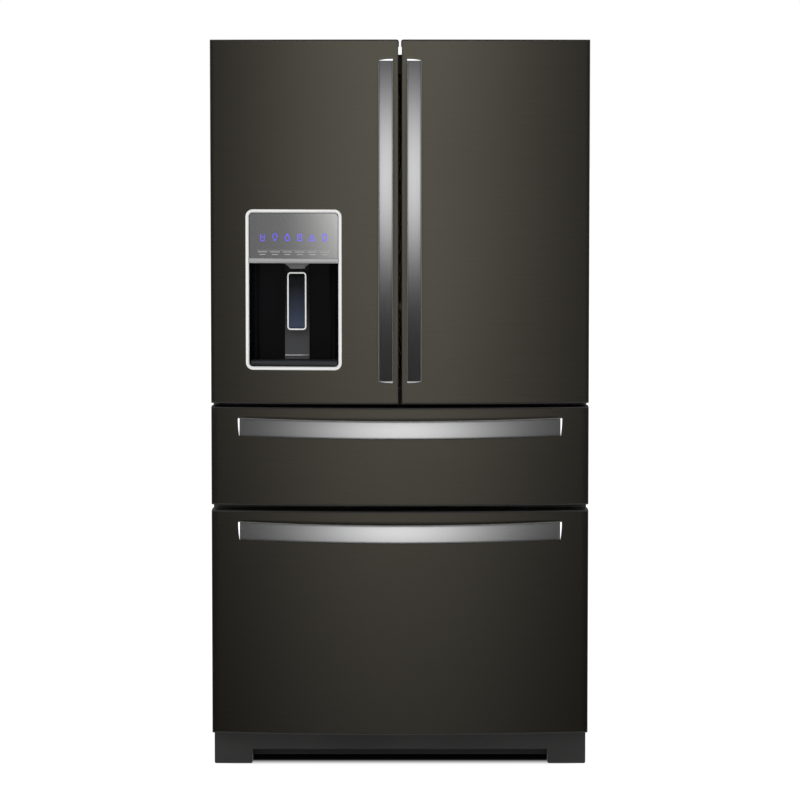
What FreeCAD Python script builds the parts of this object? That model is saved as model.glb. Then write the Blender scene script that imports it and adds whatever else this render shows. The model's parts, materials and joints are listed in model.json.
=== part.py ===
import FreeCAD
import Part
import math
import os

from FreeCAD import Vector

# French door refrigerator: two bowed upper doors, a refrigerated drawer and a freezer drawer below.
# Millimetres. X runs left to right as seen from the front, Y runs from the front to the back, Z is up.
# The origin is on the floor, under the middle of the overall box.

# ---------------------------------------------------------------- driving dimensions
width = 905.0  # across the doors
depth = 892.0  # from the handles to the back panel
cabinet_inset = 2.0  # the cabinet's sides, in from the doors' sides
cabinet_top = 1715.0
door_top = 1750.0
front_bulge = 34.5  # how far the fronts bow forward at the middle
handle_standoff = 55.0  # from a front's crown to the handle's outer face
panel_depth = 57.5  # a front's thickness at its side edge
seal_gap = 14.0  # between the fronts and the cabinet, filled by the gaskets
seal_clearance = 0.5

# heights of the four fronts
freezer_bottom = 85.0
freezer_height = 539.5
drawer_gap = 14.0
mid_height = 235.0
door_gap = 9.5
centre_gap = 8.5  # between the two doors' skins
cap_lip = 1.75  # the top caps reach this much further into the gap
cap_lip_height = 17.0
cap_round = 6.0
cap_lip_depth = 45.0

# walls and sheets
sheet = 1.0
liner_wall = 2.0
cap_plate = 3.0
side_wall = 45.5  # wrapper, foam and liner together
top_wall = 47.0
back_wall = 53.0
partition = 62.0
floor_wall = 48.0
edge_round = 5.0  # a front's outer vertical edges
gap_round = 2.0  # a door's vertical edge beside the gap

# doors
pin_radius = 7.0
running = 0.05
pin_from_side = 15.0
pin_from_back = 15.0
hinge_plate = 5.0
nose_radius = 10.0
notch_radius = 24.0
notch_front = 28.0
notch_plate = 4.0
cover_nose = 13.0  # half the width of a hinge cover's nose, outside
cover_inner = 20.0  # from a pin's axis to its cover's inner side
cover_wall = 2.0
ridge_width = 24.0
ridge_depth = 67.0
ridge_inset = 6.0
seal_width = 16.0
seal_foot = 8.0
door_seal_hinge_inset = 21.0
door_seal_free_inset = 8.0
seal_offset = 3.0  # from a compartment's opening to its gasket

# handles
handle_length = 768.0
handle_thickness = 14.0
door_handle_width = 34.5
drawer_handle_width = 42.0
handle_end_standoff = 34.0
handle_cap = 5.0
handle_drop = 4.0  # how far the middle of a drawer handle hangs below its ends
door_handle_x = 33.5
door_handle_bottom = 936.0
drawer_handle_from_top = 44.5  # down to a drawer handle's ends

# dispenser in the left door
disp_x = -253.5
mech_offset = 6.5  # the chute, column and paddle sit a little towards the door's free side
disp_width = 231.0
disp_bottom = 963.0
disp_height = 385.0
bezel_bar = 7.0
bezel_round = 18.0
bezel_proud = 3.0
panel_share_bottom = 1219.0  # lower edge of the control panel
lip_height = 12.0
recess_back_gap = 2.0
recess_round = 22.0
paddle_width = 46.0
paddle_height = 139.0
paddle_top = 1196.0
column_width = 59.0
column_depth = 8.0
paddle_back_room = 26.0  # room behind the paddle's pivot for its push
tray_height = 11.0

# compartments
fridge_floor = 912.0
mid_floor = 664.0
freezer_floor = 110.0
freezer_ceiling = 600.0
machine_top = 300.0
machine_front = 165.0
step_wall = 32.0

# flip mullion
mullion_half = 31.0
mullion_thick = 18.0

# shelves and bins
ice_box_depth = 122.0
ice_cover = 8.0
ice_latch = 8.0
shelf_clearance = 1.0  # from the ice box's latch to the shelves
shelf_rear = 340.0
shelf_rim = 12.0
shelf_thick = 16.0
glass_thick = 4.0
crisper_setback = 35.0  # from the shelves' front to the crispers'
crisper_height = 168.0
tub_wall = 3.0
bin_rear_depth = 106.0

# drawer slides
slide_clearance = 0.5
slide_length = 465.0
slide_setback = 8.0
slide_member = 9.0
slide_height = 34.0

# base
rail_bottom = 30.0
plate_thick = 3.0
roller_radius = 22.0
roller_y = 400.0
axle_radius = 4.0
leg_pad_radius = 18.0
grille_top = 82.0
grille_bottom = 36.5
grille_setback = 45.0
foot_cover_width = 92.0
floor_clear = 1.5

# ---------------------------------------------------------------- worked-out places
half = width / 2
cab_half = half - cabinet_inset
y_back = depth / 2
y_crown = -depth / 2 + handle_standoff
y_edge = y_crown + front_bulge
y_panel = y_edge + panel_depth  # back face of every front
y_cabinet = y_panel + seal_gap  # front face of the cabinet
front_radius = (half**2 + front_bulge**2) / (2 * front_bulge)
freezer_top = freezer_bottom + freezer_height
mid_bottom = freezer_top + drawer_gap
mid_top = mid_bottom + mid_height
door_bottom = mid_top + door_gap
fridge_ceiling = cabinet_top - top_wall
mid_ceiling = fridge_floor - partition
inner_half = cab_half - side_wall
y_inner = y_back - back_wall  # back face of the compartments
shelf_front = y_panel + ice_box_depth + ice_cover + ice_latch + shelf_clearance
crisper_front = shelf_front + crisper_setback
ridge_in_x = inner_half - ridge_inset - ridge_width  # a hinge-side ridge's inner side
pin_x = half - pin_from_side
pin_y = y_panel - pin_from_back
machine_rear = y_back - sheet

os.makedirs("parts", exist_ok=True)


# ---------------------------------------------------------------- helpers
def box(x0, x1, y0, y1, z0, z1):
    return Part.makeBox(x1 - x0, y1 - y0, z1 - z0, Vector(x0, y0, z0))


def rod(radius, start, end):
    a, b = Vector(*start), Vector(*end)
    return Part.makeCylinder(radius, (b - a).Length, a, b - a)


def fuse(shapes):
    """One solid from shapes that touch or overlap."""
    shapes = list(shapes)
    joined = shapes[0] if len(shapes) == 1 else shapes[0].fuse(shapes[1:])
    return joined.removeSplitter()


def group(shapes):
    """Separate solids kept in one node."""
    return Part.makeCompound([s for shape in shapes for s in shape.Solids])


def mirror(shape):
    return shape.mirror(Vector(0, 0, 0), Vector(1, 0, 0))


def both_sides(shape):
    return group([shape, mirror(shape)])


def ring(x0, x1, z0, z1, w, y0, y1):
    """A picture frame standing in the XZ plane."""
    return box(x0, x1, y0, y1, z0, z1).cut(box(x0 + w, x1 - w, y0, y1, z0 + w, z1 - w))


def flat_ring(x0, x1, y0, y1, w, z0, z1):
    """A picture frame lying in the XY plane."""
    return box(x0, x1, y0, y1, z0, z1).cut(box(x0 + w, x1 - w, y0 + w, y1 - w, z0, z1))


def round_edges(shape, direction, radius, where=lambda centre: True):
    """Fillets the straight edges along a direction whose centres pass a test."""
    axis = Vector(*direction)
    chosen = []
    for edge in shape.Edges:
        if not isinstance(edge.Curve, Part.Line):
            continue
        run = edge.Vertexes[-1].Point - edge.Vertexes[0].Point
        if abs(run.normalize().dot(axis)) > 0.999 and where(edge.CenterOfMass):
            chosen.append(edge)
    return shape.makeFillet(radius, chosen) if chosen else shape


def rounded_prism(x0, x1, z0, z1, y0, y1, radius):
    return round_edges(box(x0, x1, y0, y1, z0, z1), (0, 1, 0), radius)


def tub(x0, x1, y0, y1, z0, z1, wall=tub_wall, radius=14.0):
    """An open-topped bin with rounded corners."""
    outer = round_edges(box(x0, x1, y0, y1, z0, z1), (0, 0, 1), radius)
    inner = box(x0 + wall, x1 - wall, y0 + wall, y1 - wall, z0 + wall, z1 + 1)
    return outer.cut(round_edges(inner, (0, 0, 1), radius - wall))


def save(name, shape):
    shape.exportStep(f"parts/{name}.step")


def front_y(x, inset=0.0):
    """Y of the bowed front surface, or of a surface that far behind it."""
    return y_crown + front_radius - math.sqrt((front_radius - inset) ** 2 - x**2)


def bowed(x0, x1, z0, z1, inset=0.0, back=y_panel, rounded=False):
    """A slab whose front follows the bow that all four fronts share."""
    a, b = Vector(x0, front_y(x0, inset), z0), Vector(x1, front_y(x1, inset), z0)
    mid = Vector((x0 + x1) / 2, front_y((x0 + x1) / 2, inset), z0)
    edges = [
        Part.LineSegment(Vector(x0, back, z0), a).toShape(),
        Part.Arc(a, mid, b).toShape(),
        Part.LineSegment(b, Vector(x1, back, z0)).toShape(),
        Part.LineSegment(Vector(x1, back, z0), Vector(x0, back, z0)).toShape(),
    ]
    solid = Part.Face(Part.Wire(edges)).extrude(Vector(0, 0, z1 - z0))
    if rounded:
        forward = back - panel_depth / 2
        solid = round_edges(
            solid, (0, 0, 1), edge_round - inset, lambda c: c.y < forward and abs(c.x) > half / 2
        )
        solid = round_edges(
            solid, (0, 0, 1), gap_round - inset, lambda c: c.y < forward and abs(c.x) < half / 2
        )
    return solid


def sheet_front(x0, x1, z0, z1):
    """The folded steel skin of a front: its bowed face and its two sides."""
    outer = bowed(x0, x1, z0, z1, rounded=True)
    inner = bowed(x0 + sheet, x1 - sheet, z0, z1, sheet, y_panel + 1, True)
    return outer.cut(inner)


# ---------------------------------------------------------------- parts that all fronts share
def gasket(x0, x1, z0, z1):
    """A seal frame: a narrow foot on the front's inner panel, and a wide magnet strip at the cabinet."""
    inset = (seal_width - seal_foot) / 2
    foot_end = y_panel + (seal_gap - seal_clearance) * 0.6
    foot = ring(x0 + inset, x1 - inset, z0 + inset, z1 - inset, seal_foot, y_panel, foot_end)
    head = ring(x0, x1, z0, z1, seal_width, foot_end, y_cabinet - seal_clearance)
    return fuse([foot, head])


def ridge_boxes(x0, x1, z0, z1, y0, y1, w):
    """The four bars of a ridge frame as separate convex blocks."""
    return [
        box(x0, x0 + w, y0, y1, z0, z1),
        box(x1 - w, x1, y0, y1, z0, z1),
        box(x0 + w, x1 - w, y0, y1, z0, z0 + w),
        box(x0 + w, x1 - w, y0, y1, z1 - w, z1),
    ]


def inner_panel(x0, x1, z0, z1, ridge, ridge_end, caps):
    """A moulded inner panel with a hollow ridge frame, joined to the end caps, and the foam in the ridge."""
    rx0, rx1, rz0, rz1 = ridge
    plate = box(x0 + sheet, x1 - sheet, y_panel - liner_wall, y_panel, z0 + cap_plate, z1 - cap_plate)
    outer = ring(rx0, rx1, rz0, rz1, ridge_width, y_panel - liner_wall, ridge_end)
    outer = round_edges(outer, (0, 1, 0), 8.0, lambda c: c.x in (rx0, rx1))
    w = liner_wall
    foam = ridge_boxes(
        rx0 + w, rx1 - w, rz0 + w, rz1 - w, y_panel - w, ridge_end - w, ridge_width - 2 * w
    )
    shell = fuse([plate, outer] + caps)
    for block in foam:
        shell = shell.cut(block)
    return shell, foam


def bow_bar(length, width_across, end_front, mid_front, thickness):
    """A bowed bar along X: its outer face runs from end_front at the tips to mid_front at the middle."""
    tip = length / 2

    def arc(offset):
        return Part.Arc(
            Vector(-tip, end_front + offset, 0),
            Vector(0, mid_front + offset, 0),
            Vector(tip, end_front + offset, 0),
        ).toShape()

    sides = [
        Part.LineSegment(Vector(s * tip, end_front, 0), Vector(s * tip, end_front + thickness, 0)).toShape()
        for s in (1, -1)
    ]
    outline = Part.Wire(Part.__sortEdges__([arc(0), sides[0], arc(thickness), sides[1]]))
    bar = Part.Face(outline).extrude(Vector(0, 0, width_across))
    return bar.translate(Vector(0, 0, -width_across / 2))


def smile(length, height, drop, y0, y1):
    """A band in the XZ plane whose middle hangs lower than its ends."""
    tip, top, low = length / 2, height / 2, -height / 2

    def arc(z):
        return Part.Arc(Vector(-tip, y0, z), Vector(0, y0, z - drop), Vector(tip, y0, z)).toShape()

    sides = [
        Part.LineSegment(Vector(s * tip, y0, top), Vector(s * tip, y0, low)).toShape() for s in (1, -1)
    ]
    outline = Part.Wire(Part.__sortEdges__([arc(top), sides[0], arc(low), sides[1]]))
    return Part.Face(outline).extrude(Vector(0, y1 - y0, 0))


def handle_end(across, end_front):
    """A polished end cap that is full thickness on one side and tapers away to the other."""
    tip, top, low = handle_length / 2, across / 2, -across / 2
    thin = Vector(tip - handle_cap + 1.5, end_front, low)
    slope = Part.Arc(
        Vector(tip, end_front, top), Vector(tip - 0.8, end_front, low / 3), thin
    ).toShape()
    corners = [
        thin,
        Vector(tip - handle_cap, end_front, low),
        Vector(tip - handle_cap, end_front, top),
        Vector(tip, end_front, top),
    ]
    sides = [Part.LineSegment(a, b).toShape() for a, b in zip(corners, corners[1:])]
    cap = Part.Face(Part.Wire([slope] + sides)).extrude(Vector(0, -end_front, 0))
    return cap


def drawer_handle(z_mid):
    """A bowed bar with a polished end cap at each tip that stands on the drawer front."""
    end_front = front_y(handle_length / 2) - handle_end_standoff
    mid_front = y_crown - handle_standoff
    bar_length = handle_length - 2 * handle_cap
    bar = bow_bar(bar_length, drawer_handle_width + 2 * handle_drop, end_front, mid_front, handle_thickness)
    band = smile(bar_length, drawer_handle_width, handle_drop, mid_front - 10, 0)
    bar = bar.common(band)
    cap = handle_end(drawer_handle_width, end_front)
    front = bowed(-half, half, -drawer_handle_width, drawer_handle_width, back=1)
    caps = [c.cut(front) for c in (cap, mirror(cap))]
    whole = group([bar] + caps)
    whole.translate(Vector(0, 0, z_mid))
    return whole


def door_handle(side):
    """The same bowed bar, upright beside the gap between the doors."""
    end_front = y_crown - handle_end_standoff
    mid_front = y_crown - handle_standoff
    bar_length = handle_length - 2 * handle_cap
    bar = bow_bar(bar_length, door_handle_width, end_front, mid_front, handle_thickness)
    cap = handle_end(door_handle_width, end_front)
    centre = Vector(side * door_handle_x, 0, door_handle_bottom + handle_length / 2)
    upright = []
    for piece in (bar, cap, mirror(cap)):
        piece = piece.rotate(Vector(0, 0, 0), Vector(0, 1, 0), -side * 90)
        piece = piece.translate(centre)
        upright.append(piece)
    front = bowed(-half, half, door_bottom, door_top, back=1)
    return group([upright[0]] + [c.cut(front) for c in upright[1:]])


# ---------------------------------------------------------------- upper doors
door_free = centre_gap / 2
ridge_end_door = y_panel + ridge_depth
notch_floor = cabinet_top - 2.0
door_foam_top = notch_floor - notch_plate
boss_radius = pin_from_side - sheet - 0.5
boss_height = 24.0
mullion_axis_x = -(mullion_half - mullion_thick / 2)
mullion_axis_y = y_cabinet + 0.1 + mullion_thick / 2
mullion_bottom = fridge_floor + 24.0
mullion_top = fridge_ceiling - 24.0
ridge_free = mullion_half + 17.0


def door_span(side):
    """X limits of a door, low first."""
    return (-half, -door_free) if side < 0 else (door_free, half)


def hinge_notch(side):
    """The corner that the top hinge and its cover turn in."""
    x_in = side * (pin_x - notch_radius)
    x_out = side * (half + 1)
    low, high = min(x_in, x_out), max(x_in, x_out)
    return box(low, high, pin_y - notch_front, y_panel + 1, notch_floor, door_top + 1)


def door_core(side, z0, z1, back):
    """The room inside a door's skin."""
    x0, x1 = door_span(side)
    return bowed(x0 + sheet, x1 - sheet, z0, z1, sheet, back, True)


def door_caps(side):
    """End caps: a plate at the bottom, and a deep cap at the top with the hinge notch and its bushes."""
    x0, x1 = door_span(side)
    x, y = side * pin_x, pin_y
    low = bowed(x0, x1, door_bottom, door_bottom + cap_plate, rounded=True)
    low_boss = rod(boss_radius, (x, y, door_bottom), (x, y, door_bottom + boss_height))
    high = bowed(x0, x1, door_top - cap_plate, door_top, rounded=True)
    lip_free = side * (door_free - cap_lip)
    lip_ends = sorted((lip_free, side * door_free))
    lip_back = y_crown + cap_lip_depth
    lip_block = bowed(lip_ends[0], lip_ends[1], door_top - cap_lip_height, door_top, 0.0, lip_back)
    lip_block = round_edges(
        lip_block, (0, 0, 1), cap_lip - 0.5, lambda c: c.y < lip_back - 5 and abs(c.x) < door_free - 1
    )
    inner_x = side * (pin_x - notch_radius)
    block_in = inner_x - side * cap_plate
    block = [inner_x - side * cap_plate, side * (half - sheet)]
    corner = bowed(min(block), max(block), door_foam_top, door_top - cap_plate, sheet)
    corner = corner.common(door_core(side, door_foam_top, door_top - cap_plate, y_panel))
    top_boss = rod(boss_radius, (x, y, notch_floor - boss_height), (x, y, notch_floor))
    rear = box(
        min(block_in, side * door_free),
        max(block_in, side * door_free),
        y_panel - liner_wall,
        y_panel,
        door_foam_top,
        door_top - cap_plate,
    )
    rear = rear.common(box(x0 + sheet, x1 - sheet, -depth, depth, 0, door_top))
    notch = hinge_notch(side)
    caps = [low, low_boss] + [s.cut(notch) for s in (high, corner)] + [top_boss, rear, lip_block]
    bores = [
        rod(pin_radius + running, (x, y, door_bottom - 1), (x, y, door_bottom + boss_height - 2)),
        rod(pin_radius + running, (x, y, notch_floor - boss_height + 2), (x, y, notch_floor + 1)),
    ]
    return caps, bores


def round_cut(side):
    """What rounds off a top cap's upper corner beside the gap."""
    x = side * (door_free - cap_lip)
    lo, hi = sorted((x - side, x + side * cap_round))
    block = box(lo, hi, -depth, y_panel, door_top - cap_round, door_top + 1)
    centre_x, centre_z = x + side * cap_round, door_top - cap_round
    return block.cut(rod(cap_round, (centre_x, -depth, centre_z), (centre_x, y_panel + 1, centre_z)))


def door_bosses(side):
    """The two hinge bushes' outsides, to clear them from the foam."""
    x, y = side * pin_x, pin_y
    return [
        rod(boss_radius, (x, y, door_bottom), (x, y, door_bottom + boss_height)),
        rod(boss_radius, (x, y, notch_floor - boss_height), (x, y, notch_floor)),
    ]


def door_seal(side):
    x_hinge = side * (half - door_seal_hinge_inset)
    x_free = side * (door_free + door_seal_free_inset)
    z0 = fridge_floor - seal_offset - seal_width
    z1 = fridge_ceiling + seal_offset + 9.0 + seal_width
    return gasket(min(x_hinge, x_free), max(x_hinge, x_free), z0, z1)


def door_ridge(side):
    """Limits of the ridge frame on a door's inner panel."""
    edges = sorted((side * (inner_half - ridge_inset), side * ridge_free))
    return edges[0], edges[1], fridge_floor + ridge_inset, fridge_ceiling - ridge_inset


# the dispenser's opening and housing
disp_x0, disp_x1 = disp_x - disp_width / 2, disp_x + disp_width / 2
mech_x = disp_x + mech_offset
disp_top = disp_bottom + disp_height
hous_x0, hous_x1 = disp_x0 + bezel_bar, disp_x1 - bezel_bar
hous_z0, hous_z1 = disp_bottom + bezel_bar, disp_top - bezel_bar
housing_wall = 2.0
housing_gap = 1.5  # the bezel's inner lip
housing_round = bezel_round - bezel_bar - housing_gap
y_recess = y_panel - liner_wall - recess_back_gap  # outside of the housing's back wall
bump_margin = 8.0
bump_depth = 33.0
duct_half = 30.0
duct_y0, duct_y1 = y_panel + 2.0, y_panel + 27.0
duct_bottom = hous_z1 - 42.0
duct_top = hous_z1 + bump_margin + 14.0


def opening(grow=0.0, y0=-depth, y1=y_panel):
    return rounded_prism(
        hous_x0 - grow, hous_x1 + grow, hous_z0 - grow, hous_z1 + grow, y0, y1, bezel_round - bezel_bar + grow
    )


def make_door(side):
    x0, x1 = door_span(side)
    name = "left_door" if side < 0 else "right_door"
    skin = sheet_front(x0, x1, door_bottom + cap_plate, door_top - cap_plate).cut(hinge_notch(side))
    caps, bores = door_caps(side)
    ridge = door_ridge(side)
    liner, foam = inner_panel(x0, x1, door_bottom, door_foam_top + cap_plate, ridge, ridge_end_door, caps)
    inset, rear = sheet, y_panel - liner_wall
    z_low, z_high = door_bottom + cap_plate, door_foam_top
    fx0, fx1 = x0 + sheet, x1 - sheet

    if side < 0:
        slabs = [
            bowed(fx0, fx1, z_low, hous_z0, inset, rear),
            bowed(fx0, fx1, hous_z1, z_high, inset, rear),
            bowed(fx0, hous_x0, hous_z0, hous_z1, inset, rear),
            bowed(hous_x1, fx1, hous_z0, hous_z1, inset, rear),
        ]
    else:
        slabs = [bowed(fx0, fx1, z_low, z_high, inset, rear)]
    notch_in = side * (pin_x - notch_radius - cap_plate)
    ends = sorted((notch_in, side * (door_free + sheet)))
    slabs.append(bowed(ends[0], ends[1], z_high, door_top - cap_plate, inset, rear))
    core = door_core(side, z_low, door_top - cap_plate, rear)
    slabs = [s.common(core).cut(Part.makeCompound(door_bosses(side))) for s in slabs]

    if side < 0:
        skin = skin.cut(opening())
        bx0, bx1 = max(hous_x0 - bump_margin, -ridge_in_x), hous_x1 + bump_margin
        bz0, bz1 = hous_z0 - bump_margin, hous_z1 + bump_margin
        y_bump = y_panel + bump_depth
        w = liner_wall
        bump = box(bx0, bx1, y_panel - w, y_bump, bz0, bz1)
        inner = [
            box(bx0 + w, bx1 - w, rear, y_bump - w, bz0 + w, duct_bottom),
            box(bx0 + w, mech_x - duct_half, rear, y_bump - w, duct_bottom, bz1 - w),
            box(mech_x + duct_half, bx1 - w, rear, y_bump - w, duct_bottom, bz1 - w),
        ]
        duct_room = box(mech_x - duct_half, mech_x + duct_half, rear, y_bump - w, duct_bottom, bz1 + 1)
        liner = fuse([liner, bump])
        for block in inner + [duct_room]:
            liner = liner.cut(block)
        foam = foam + inner
        bracket_y0, bracket_y1 = mullion_axis_y - mullion_thick / 2, mullion_axis_y + mullion_thick / 2
        for z, pin_end in ((mullion_bottom - 5.0, 12.0), (mullion_top + 1.0, -11.0)):
            arm = box(-ridge_free, mullion_axis_x + 6, bracket_y0 + 0.4, bracket_y1, z, z + 4)
            z_pin = sorted((z + 2, z + 2 + pin_end))
            x, y = mullion_axis_x, mullion_axis_y
            pin = rod(3.0, (x, y, z_pin[0]), (x, y, z_pin[1]))
            liner = fuse([liner, arm, pin])
    for cutter in bores + [round_cut(side)]:
        liner = liner.cut(cutter)
    save(f"{name}_skin", skin)
    save(f"{name}_liner", liner)
    save(f"{name}_foam", group(slabs + foam))
    save(f"{name}_gasket", door_seal(side))
    save(f"{name}_handle", door_handle(side))


def make_mullion():
    """The bar that closes the gap between the doors, folded back beside the left door's ridge."""
    reach = mullion_half - mullion_axis_x
    x, y, r = mullion_axis_x, mullion_axis_y, mullion_thick / 2
    z0, z1 = mullion_bottom, mullion_top
    barrel = rod(r, (x, y, z0), (x, y, z1))
    leaf = box(x - r, x + r, y, y + reach, z0, z1)
    leaf = round_edges(leaf, (0, 0, 1), 3.0, lambda c: c.y > y + 1)
    groove = box(x + r - 2.0, x + r + 1, y + 12, y + reach - 8, z0 + 10, z1 - 10)
    bar = fuse([barrel, leaf]).cut(groove)
    for za, zb in ((z0 - 1, z0 + 14), (z1 - 14, z1 + 1)):
        bar = bar.cut(rod(3.0 + running, (x, y, za), (x, y, zb)))
    save("flip_mullion", bar)


def make_dispenser():
    # chrome bezel that follows the door's bow
    ring_out = rounded_prism(disp_x0, disp_x1, disp_bottom, disp_top, -depth, y_panel, bezel_round)
    front = bowed(-half, 0, door_bottom, door_top, -bezel_proud)
    behind = bowed(-half, 0, door_bottom, door_top, 0.0)
    bezel = ring_out.cut(opening()).common(front).cut(behind)
    deep = bowed(-half, 0, door_bottom, door_top, 8.0)
    inner_lip = opening().cut(opening(-housing_gap)).common(front).cut(deep)
    save("dispenser_bezel", fuse([bezel, inner_lip]))

    # housing: a deep box with a back wall, a ceiling over the recess and a central column
    g = housing_gap
    x0, x1, z0, z1 = hous_x0 + g, hous_x1 - g, hous_z0 + g, hous_z1 - g
    w = housing_wall
    block = bowed(x0, x1, z0, z1, 8.0, y_recess)
    block = round_edges(block, (0, 1, 0), housing_round)
    ceiling = panel_share_bottom
    recess = box(x0 + w, x1 - w, -depth, y_recess - w, z0 + w, ceiling)
    recess = round_edges(recess, (0, 0, 1), recess_round, lambda c: c.y > 1 - depth)
    upper = box(x0 + w, x1 - w, -depth, y_recess - w, ceiling + w, z1 - w)
    mouth_half = duct_half - 4
    duct_mouth = box(
        mech_x - mouth_half, mech_x + mouth_half, y_recess - w - 1, y_recess + 1, duct_bottom + 4, z1 - w - 4
    )
    spout_hole = box(mech_x - 27, mech_x + 27, y_recess - 46, y_recess - 14, ceiling - 1, ceiling + w + 1)
    housing = block.cut(recess).cut(upper).cut(duct_mouth).cut(spout_hole)
    column = box(
        mech_x - column_width / 2,
        mech_x + column_width / 2,
        y_recess - w - column_depth,
        y_recess - w,
        z0 + w + tray_height,
        ceiling,
    )
    pivot_z = paddle_top - 8.0
    housing = fuse([housing, column])
    ear_y = y_recess - w - column_depth - paddle_back_room
    for s in (-1, 1):
        ear_x = mech_x + s * (paddle_width / 2 + 3)
        ear = box(ear_x - 2, ear_x + 2, ear_y - 5, y_recess - w, pivot_z - 6, pivot_z + 6)
        housing = fuse([housing, ear])
    pin_half = paddle_width / 2 + 5
    pin = rod(2.5, (mech_x - pin_half, ear_y, pivot_z), (mech_x + pin_half, ear_y, pivot_z))
    housing = fuse([housing, pin])
    save("dispenser_housing", housing)

    # paddle: a frame round a flat tongue, hung on the pin near its top
    px0, px1 = mech_x - paddle_width / 2, mech_x + paddle_width / 2
    y0, y1 = ear_y - 4.0, ear_y + 4.0
    z0p = paddle_top - paddle_height
    body = rounded_prism(px0, px1, z0p, paddle_top, y0, y1, 5.0)
    face = rounded_prism(px0 + 4, px1 - 4, z0p + 4, paddle_top - 4, y0 - 1, y0 + 2, 3.0)
    paddle = body.cut(face)
    paddle = paddle.cut(rod(2.5 + running, (px0 - 1, ear_y, pivot_z), (px1 + 1, ear_y, pivot_z)))
    save("dispenser_paddle", paddle)

    # control panel with its rolled lower lip
    plate_front = bowed(-half, 0, door_bottom, door_top, -0.5)
    plate_back = bowed(-half, 0, door_bottom, door_top, 5.0)
    pane = rounded_prism(x0, x1, ceiling, z1, -depth, y_recess, housing_round)
    pane = pane.fuse(box(x0, x1, -depth, y_recess, ceiling, ceiling + 20)).removeSplitter()
    plate = pane.common(plate_front).cut(plate_back)
    lip = box(x0, x1, -depth, y_recess, ceiling, ceiling + lip_height)
    lip = lip.common(bowed(-half, 0, door_bottom, door_top, -2.5)).cut(deep)
    save("dispenser_control_panel", fuse([plate, lip]))

    # spout: ice chute with a water nozzle, through the recess's ceiling
    sx, sy = mech_x, y_recess - 30.0
    chute = box(sx - 26, sx + 26, sy - 15, sy + 15, ceiling - 6, z1 - w - 30)
    chute = round_edges(chute, (0, 0, 1), 8.0)
    bore = box(sx - 22, sx + 22, sy - 11, sy + 11, ceiling - 7, z1 - w - 29)
    chute = chute.cut(round_edges(bore, (0, 0, 1), 5.0))
    flange = box(sx - 34, sx + 34, sy - 20, sy + 20, ceiling + w, ceiling + w + 3)
    flange = flange.cut(box(sx - 25, sx + 25, sy - 14, sy + 14, ceiling, ceiling + 9))
    nozzle = rod(4.0, (sx, sy - 18.5, ceiling + w + 3), (sx, sy - 18.5, ceiling + 20))
    save("dispenser_spout", fuse([chute, flange, nozzle]))

    # drip tray on the floor of the recess
    t0, t1 = x0 + w + 1, x1 - w - 1
    tray = bowed(t0, t1, z0 + w, z0 + w + tray_height, 9.0, y_recess - w - 1)
    tray = round_edges(tray, (0, 0, 1), recess_round - 1, lambda c: c.y > y_recess - w - 4)
    well = bowed(t0 + 3, t1 - 3, z0 + w + 5, z0 + w + tray_height + 1, 14.0, y_recess - w - 24)
    tray = tray.cut(well)
    slats = [
        box(t0 + 4, t1 - 4, y, y + 2.5, z0 + w + 5, z0 + w + tray_height - 1)
        for y in [y_recess - w - 34 - 9 * k for k in range(4)]
    ]
    save("dispenser_tray", fuse([tray] + slats))


def make_ice_box():
    """Insulated ice bin housing on the left door's inside, with its cover and the duct to the spout."""
    x0, x1 = -ridge_in_x + 4, -ridge_free - ridge_width - 4
    z0, z1 = hous_z1 + bump_margin + 12, fridge_ceiling - ridge_inset - ridge_width - 6
    y0, y1 = y_panel, y_panel + ice_box_depth
    wall = 4.0
    case = round_edges(box(x0, x1, y0, y1, z0, z1), (0, 0, 1), 16.0, lambda c: c.y > 0.5 * (y0 + y1))
    case = case.cut(box(x0 + wall, x1 - wall, y0 + wall, y1 - wall, z0 + wall, z1 - wall))
    duct = box(mech_x - duct_half + 1, mech_x + duct_half - 1, duct_y0, duct_y1, duct_bottom + 1, z0 + 1)
    bore_x0, bore_x1, bore_z = mech_x - duct_half + 4, mech_x + duct_half - 4, duct_bottom + 4
    bore = box(bore_x0, bore_x1, duct_y0 + 3, duct_y1 - 3, bore_z, z0 + wall + 1)
    mouth = box(bore_x0, bore_x1, duct_y0 - 1, duct_y0 + 4, bore_z, duct_bottom + 30)
    case = fuse([case, duct]).cut(bore).cut(mouth)
    cover = box(x0 + 14, x1 - 14, y1, y1 + ice_cover, z0 + 14, z1 - 14)
    cover = round_edges(cover, (0, 1, 0), 12.0)
    mid = (z0 + z1) / 2
    latch = box(x1 - 60, x1 - 30, y1 + ice_cover, y1 + ice_cover + ice_latch, mid - 30, mid + 30)
    latch = round_edges(latch, (0, 1, 0), 6.0)
    save("ice_maker_box", group([case, fuse([cover, latch])]))


def door_bin(side, z0, z1, y0, y1):
    """One door bin that fills the span between the ridge's two uprights."""
    span = sorted((side * (ridge_in_x - 0.3), side * (ridge_free + ridge_width + 0.3)))
    return tub(span[0], span[1], y0, y1, z0, z1)


def make_door_bins():
    base = fridge_floor + ridge_inset + ridge_width
    rear = y_panel + bin_rear_depth
    y_bump = y_panel + bump_depth
    left = [door_bin(-1, base, base + 95, y_bump, rear), door_bin(-1, base + 190, base + 275, y_bump, rear)]
    save("left_door_bins", group(left))
    steps = (0.0, 235.0, 470.0)
    right = [door_bin(1, base + s, base + s + 105, y_panel, rear) for s in steps]
    save("right_door_bins", group(right))


# ---------------------------------------------------------------- drawers
drawer_ridge_depth = 30.0


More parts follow.
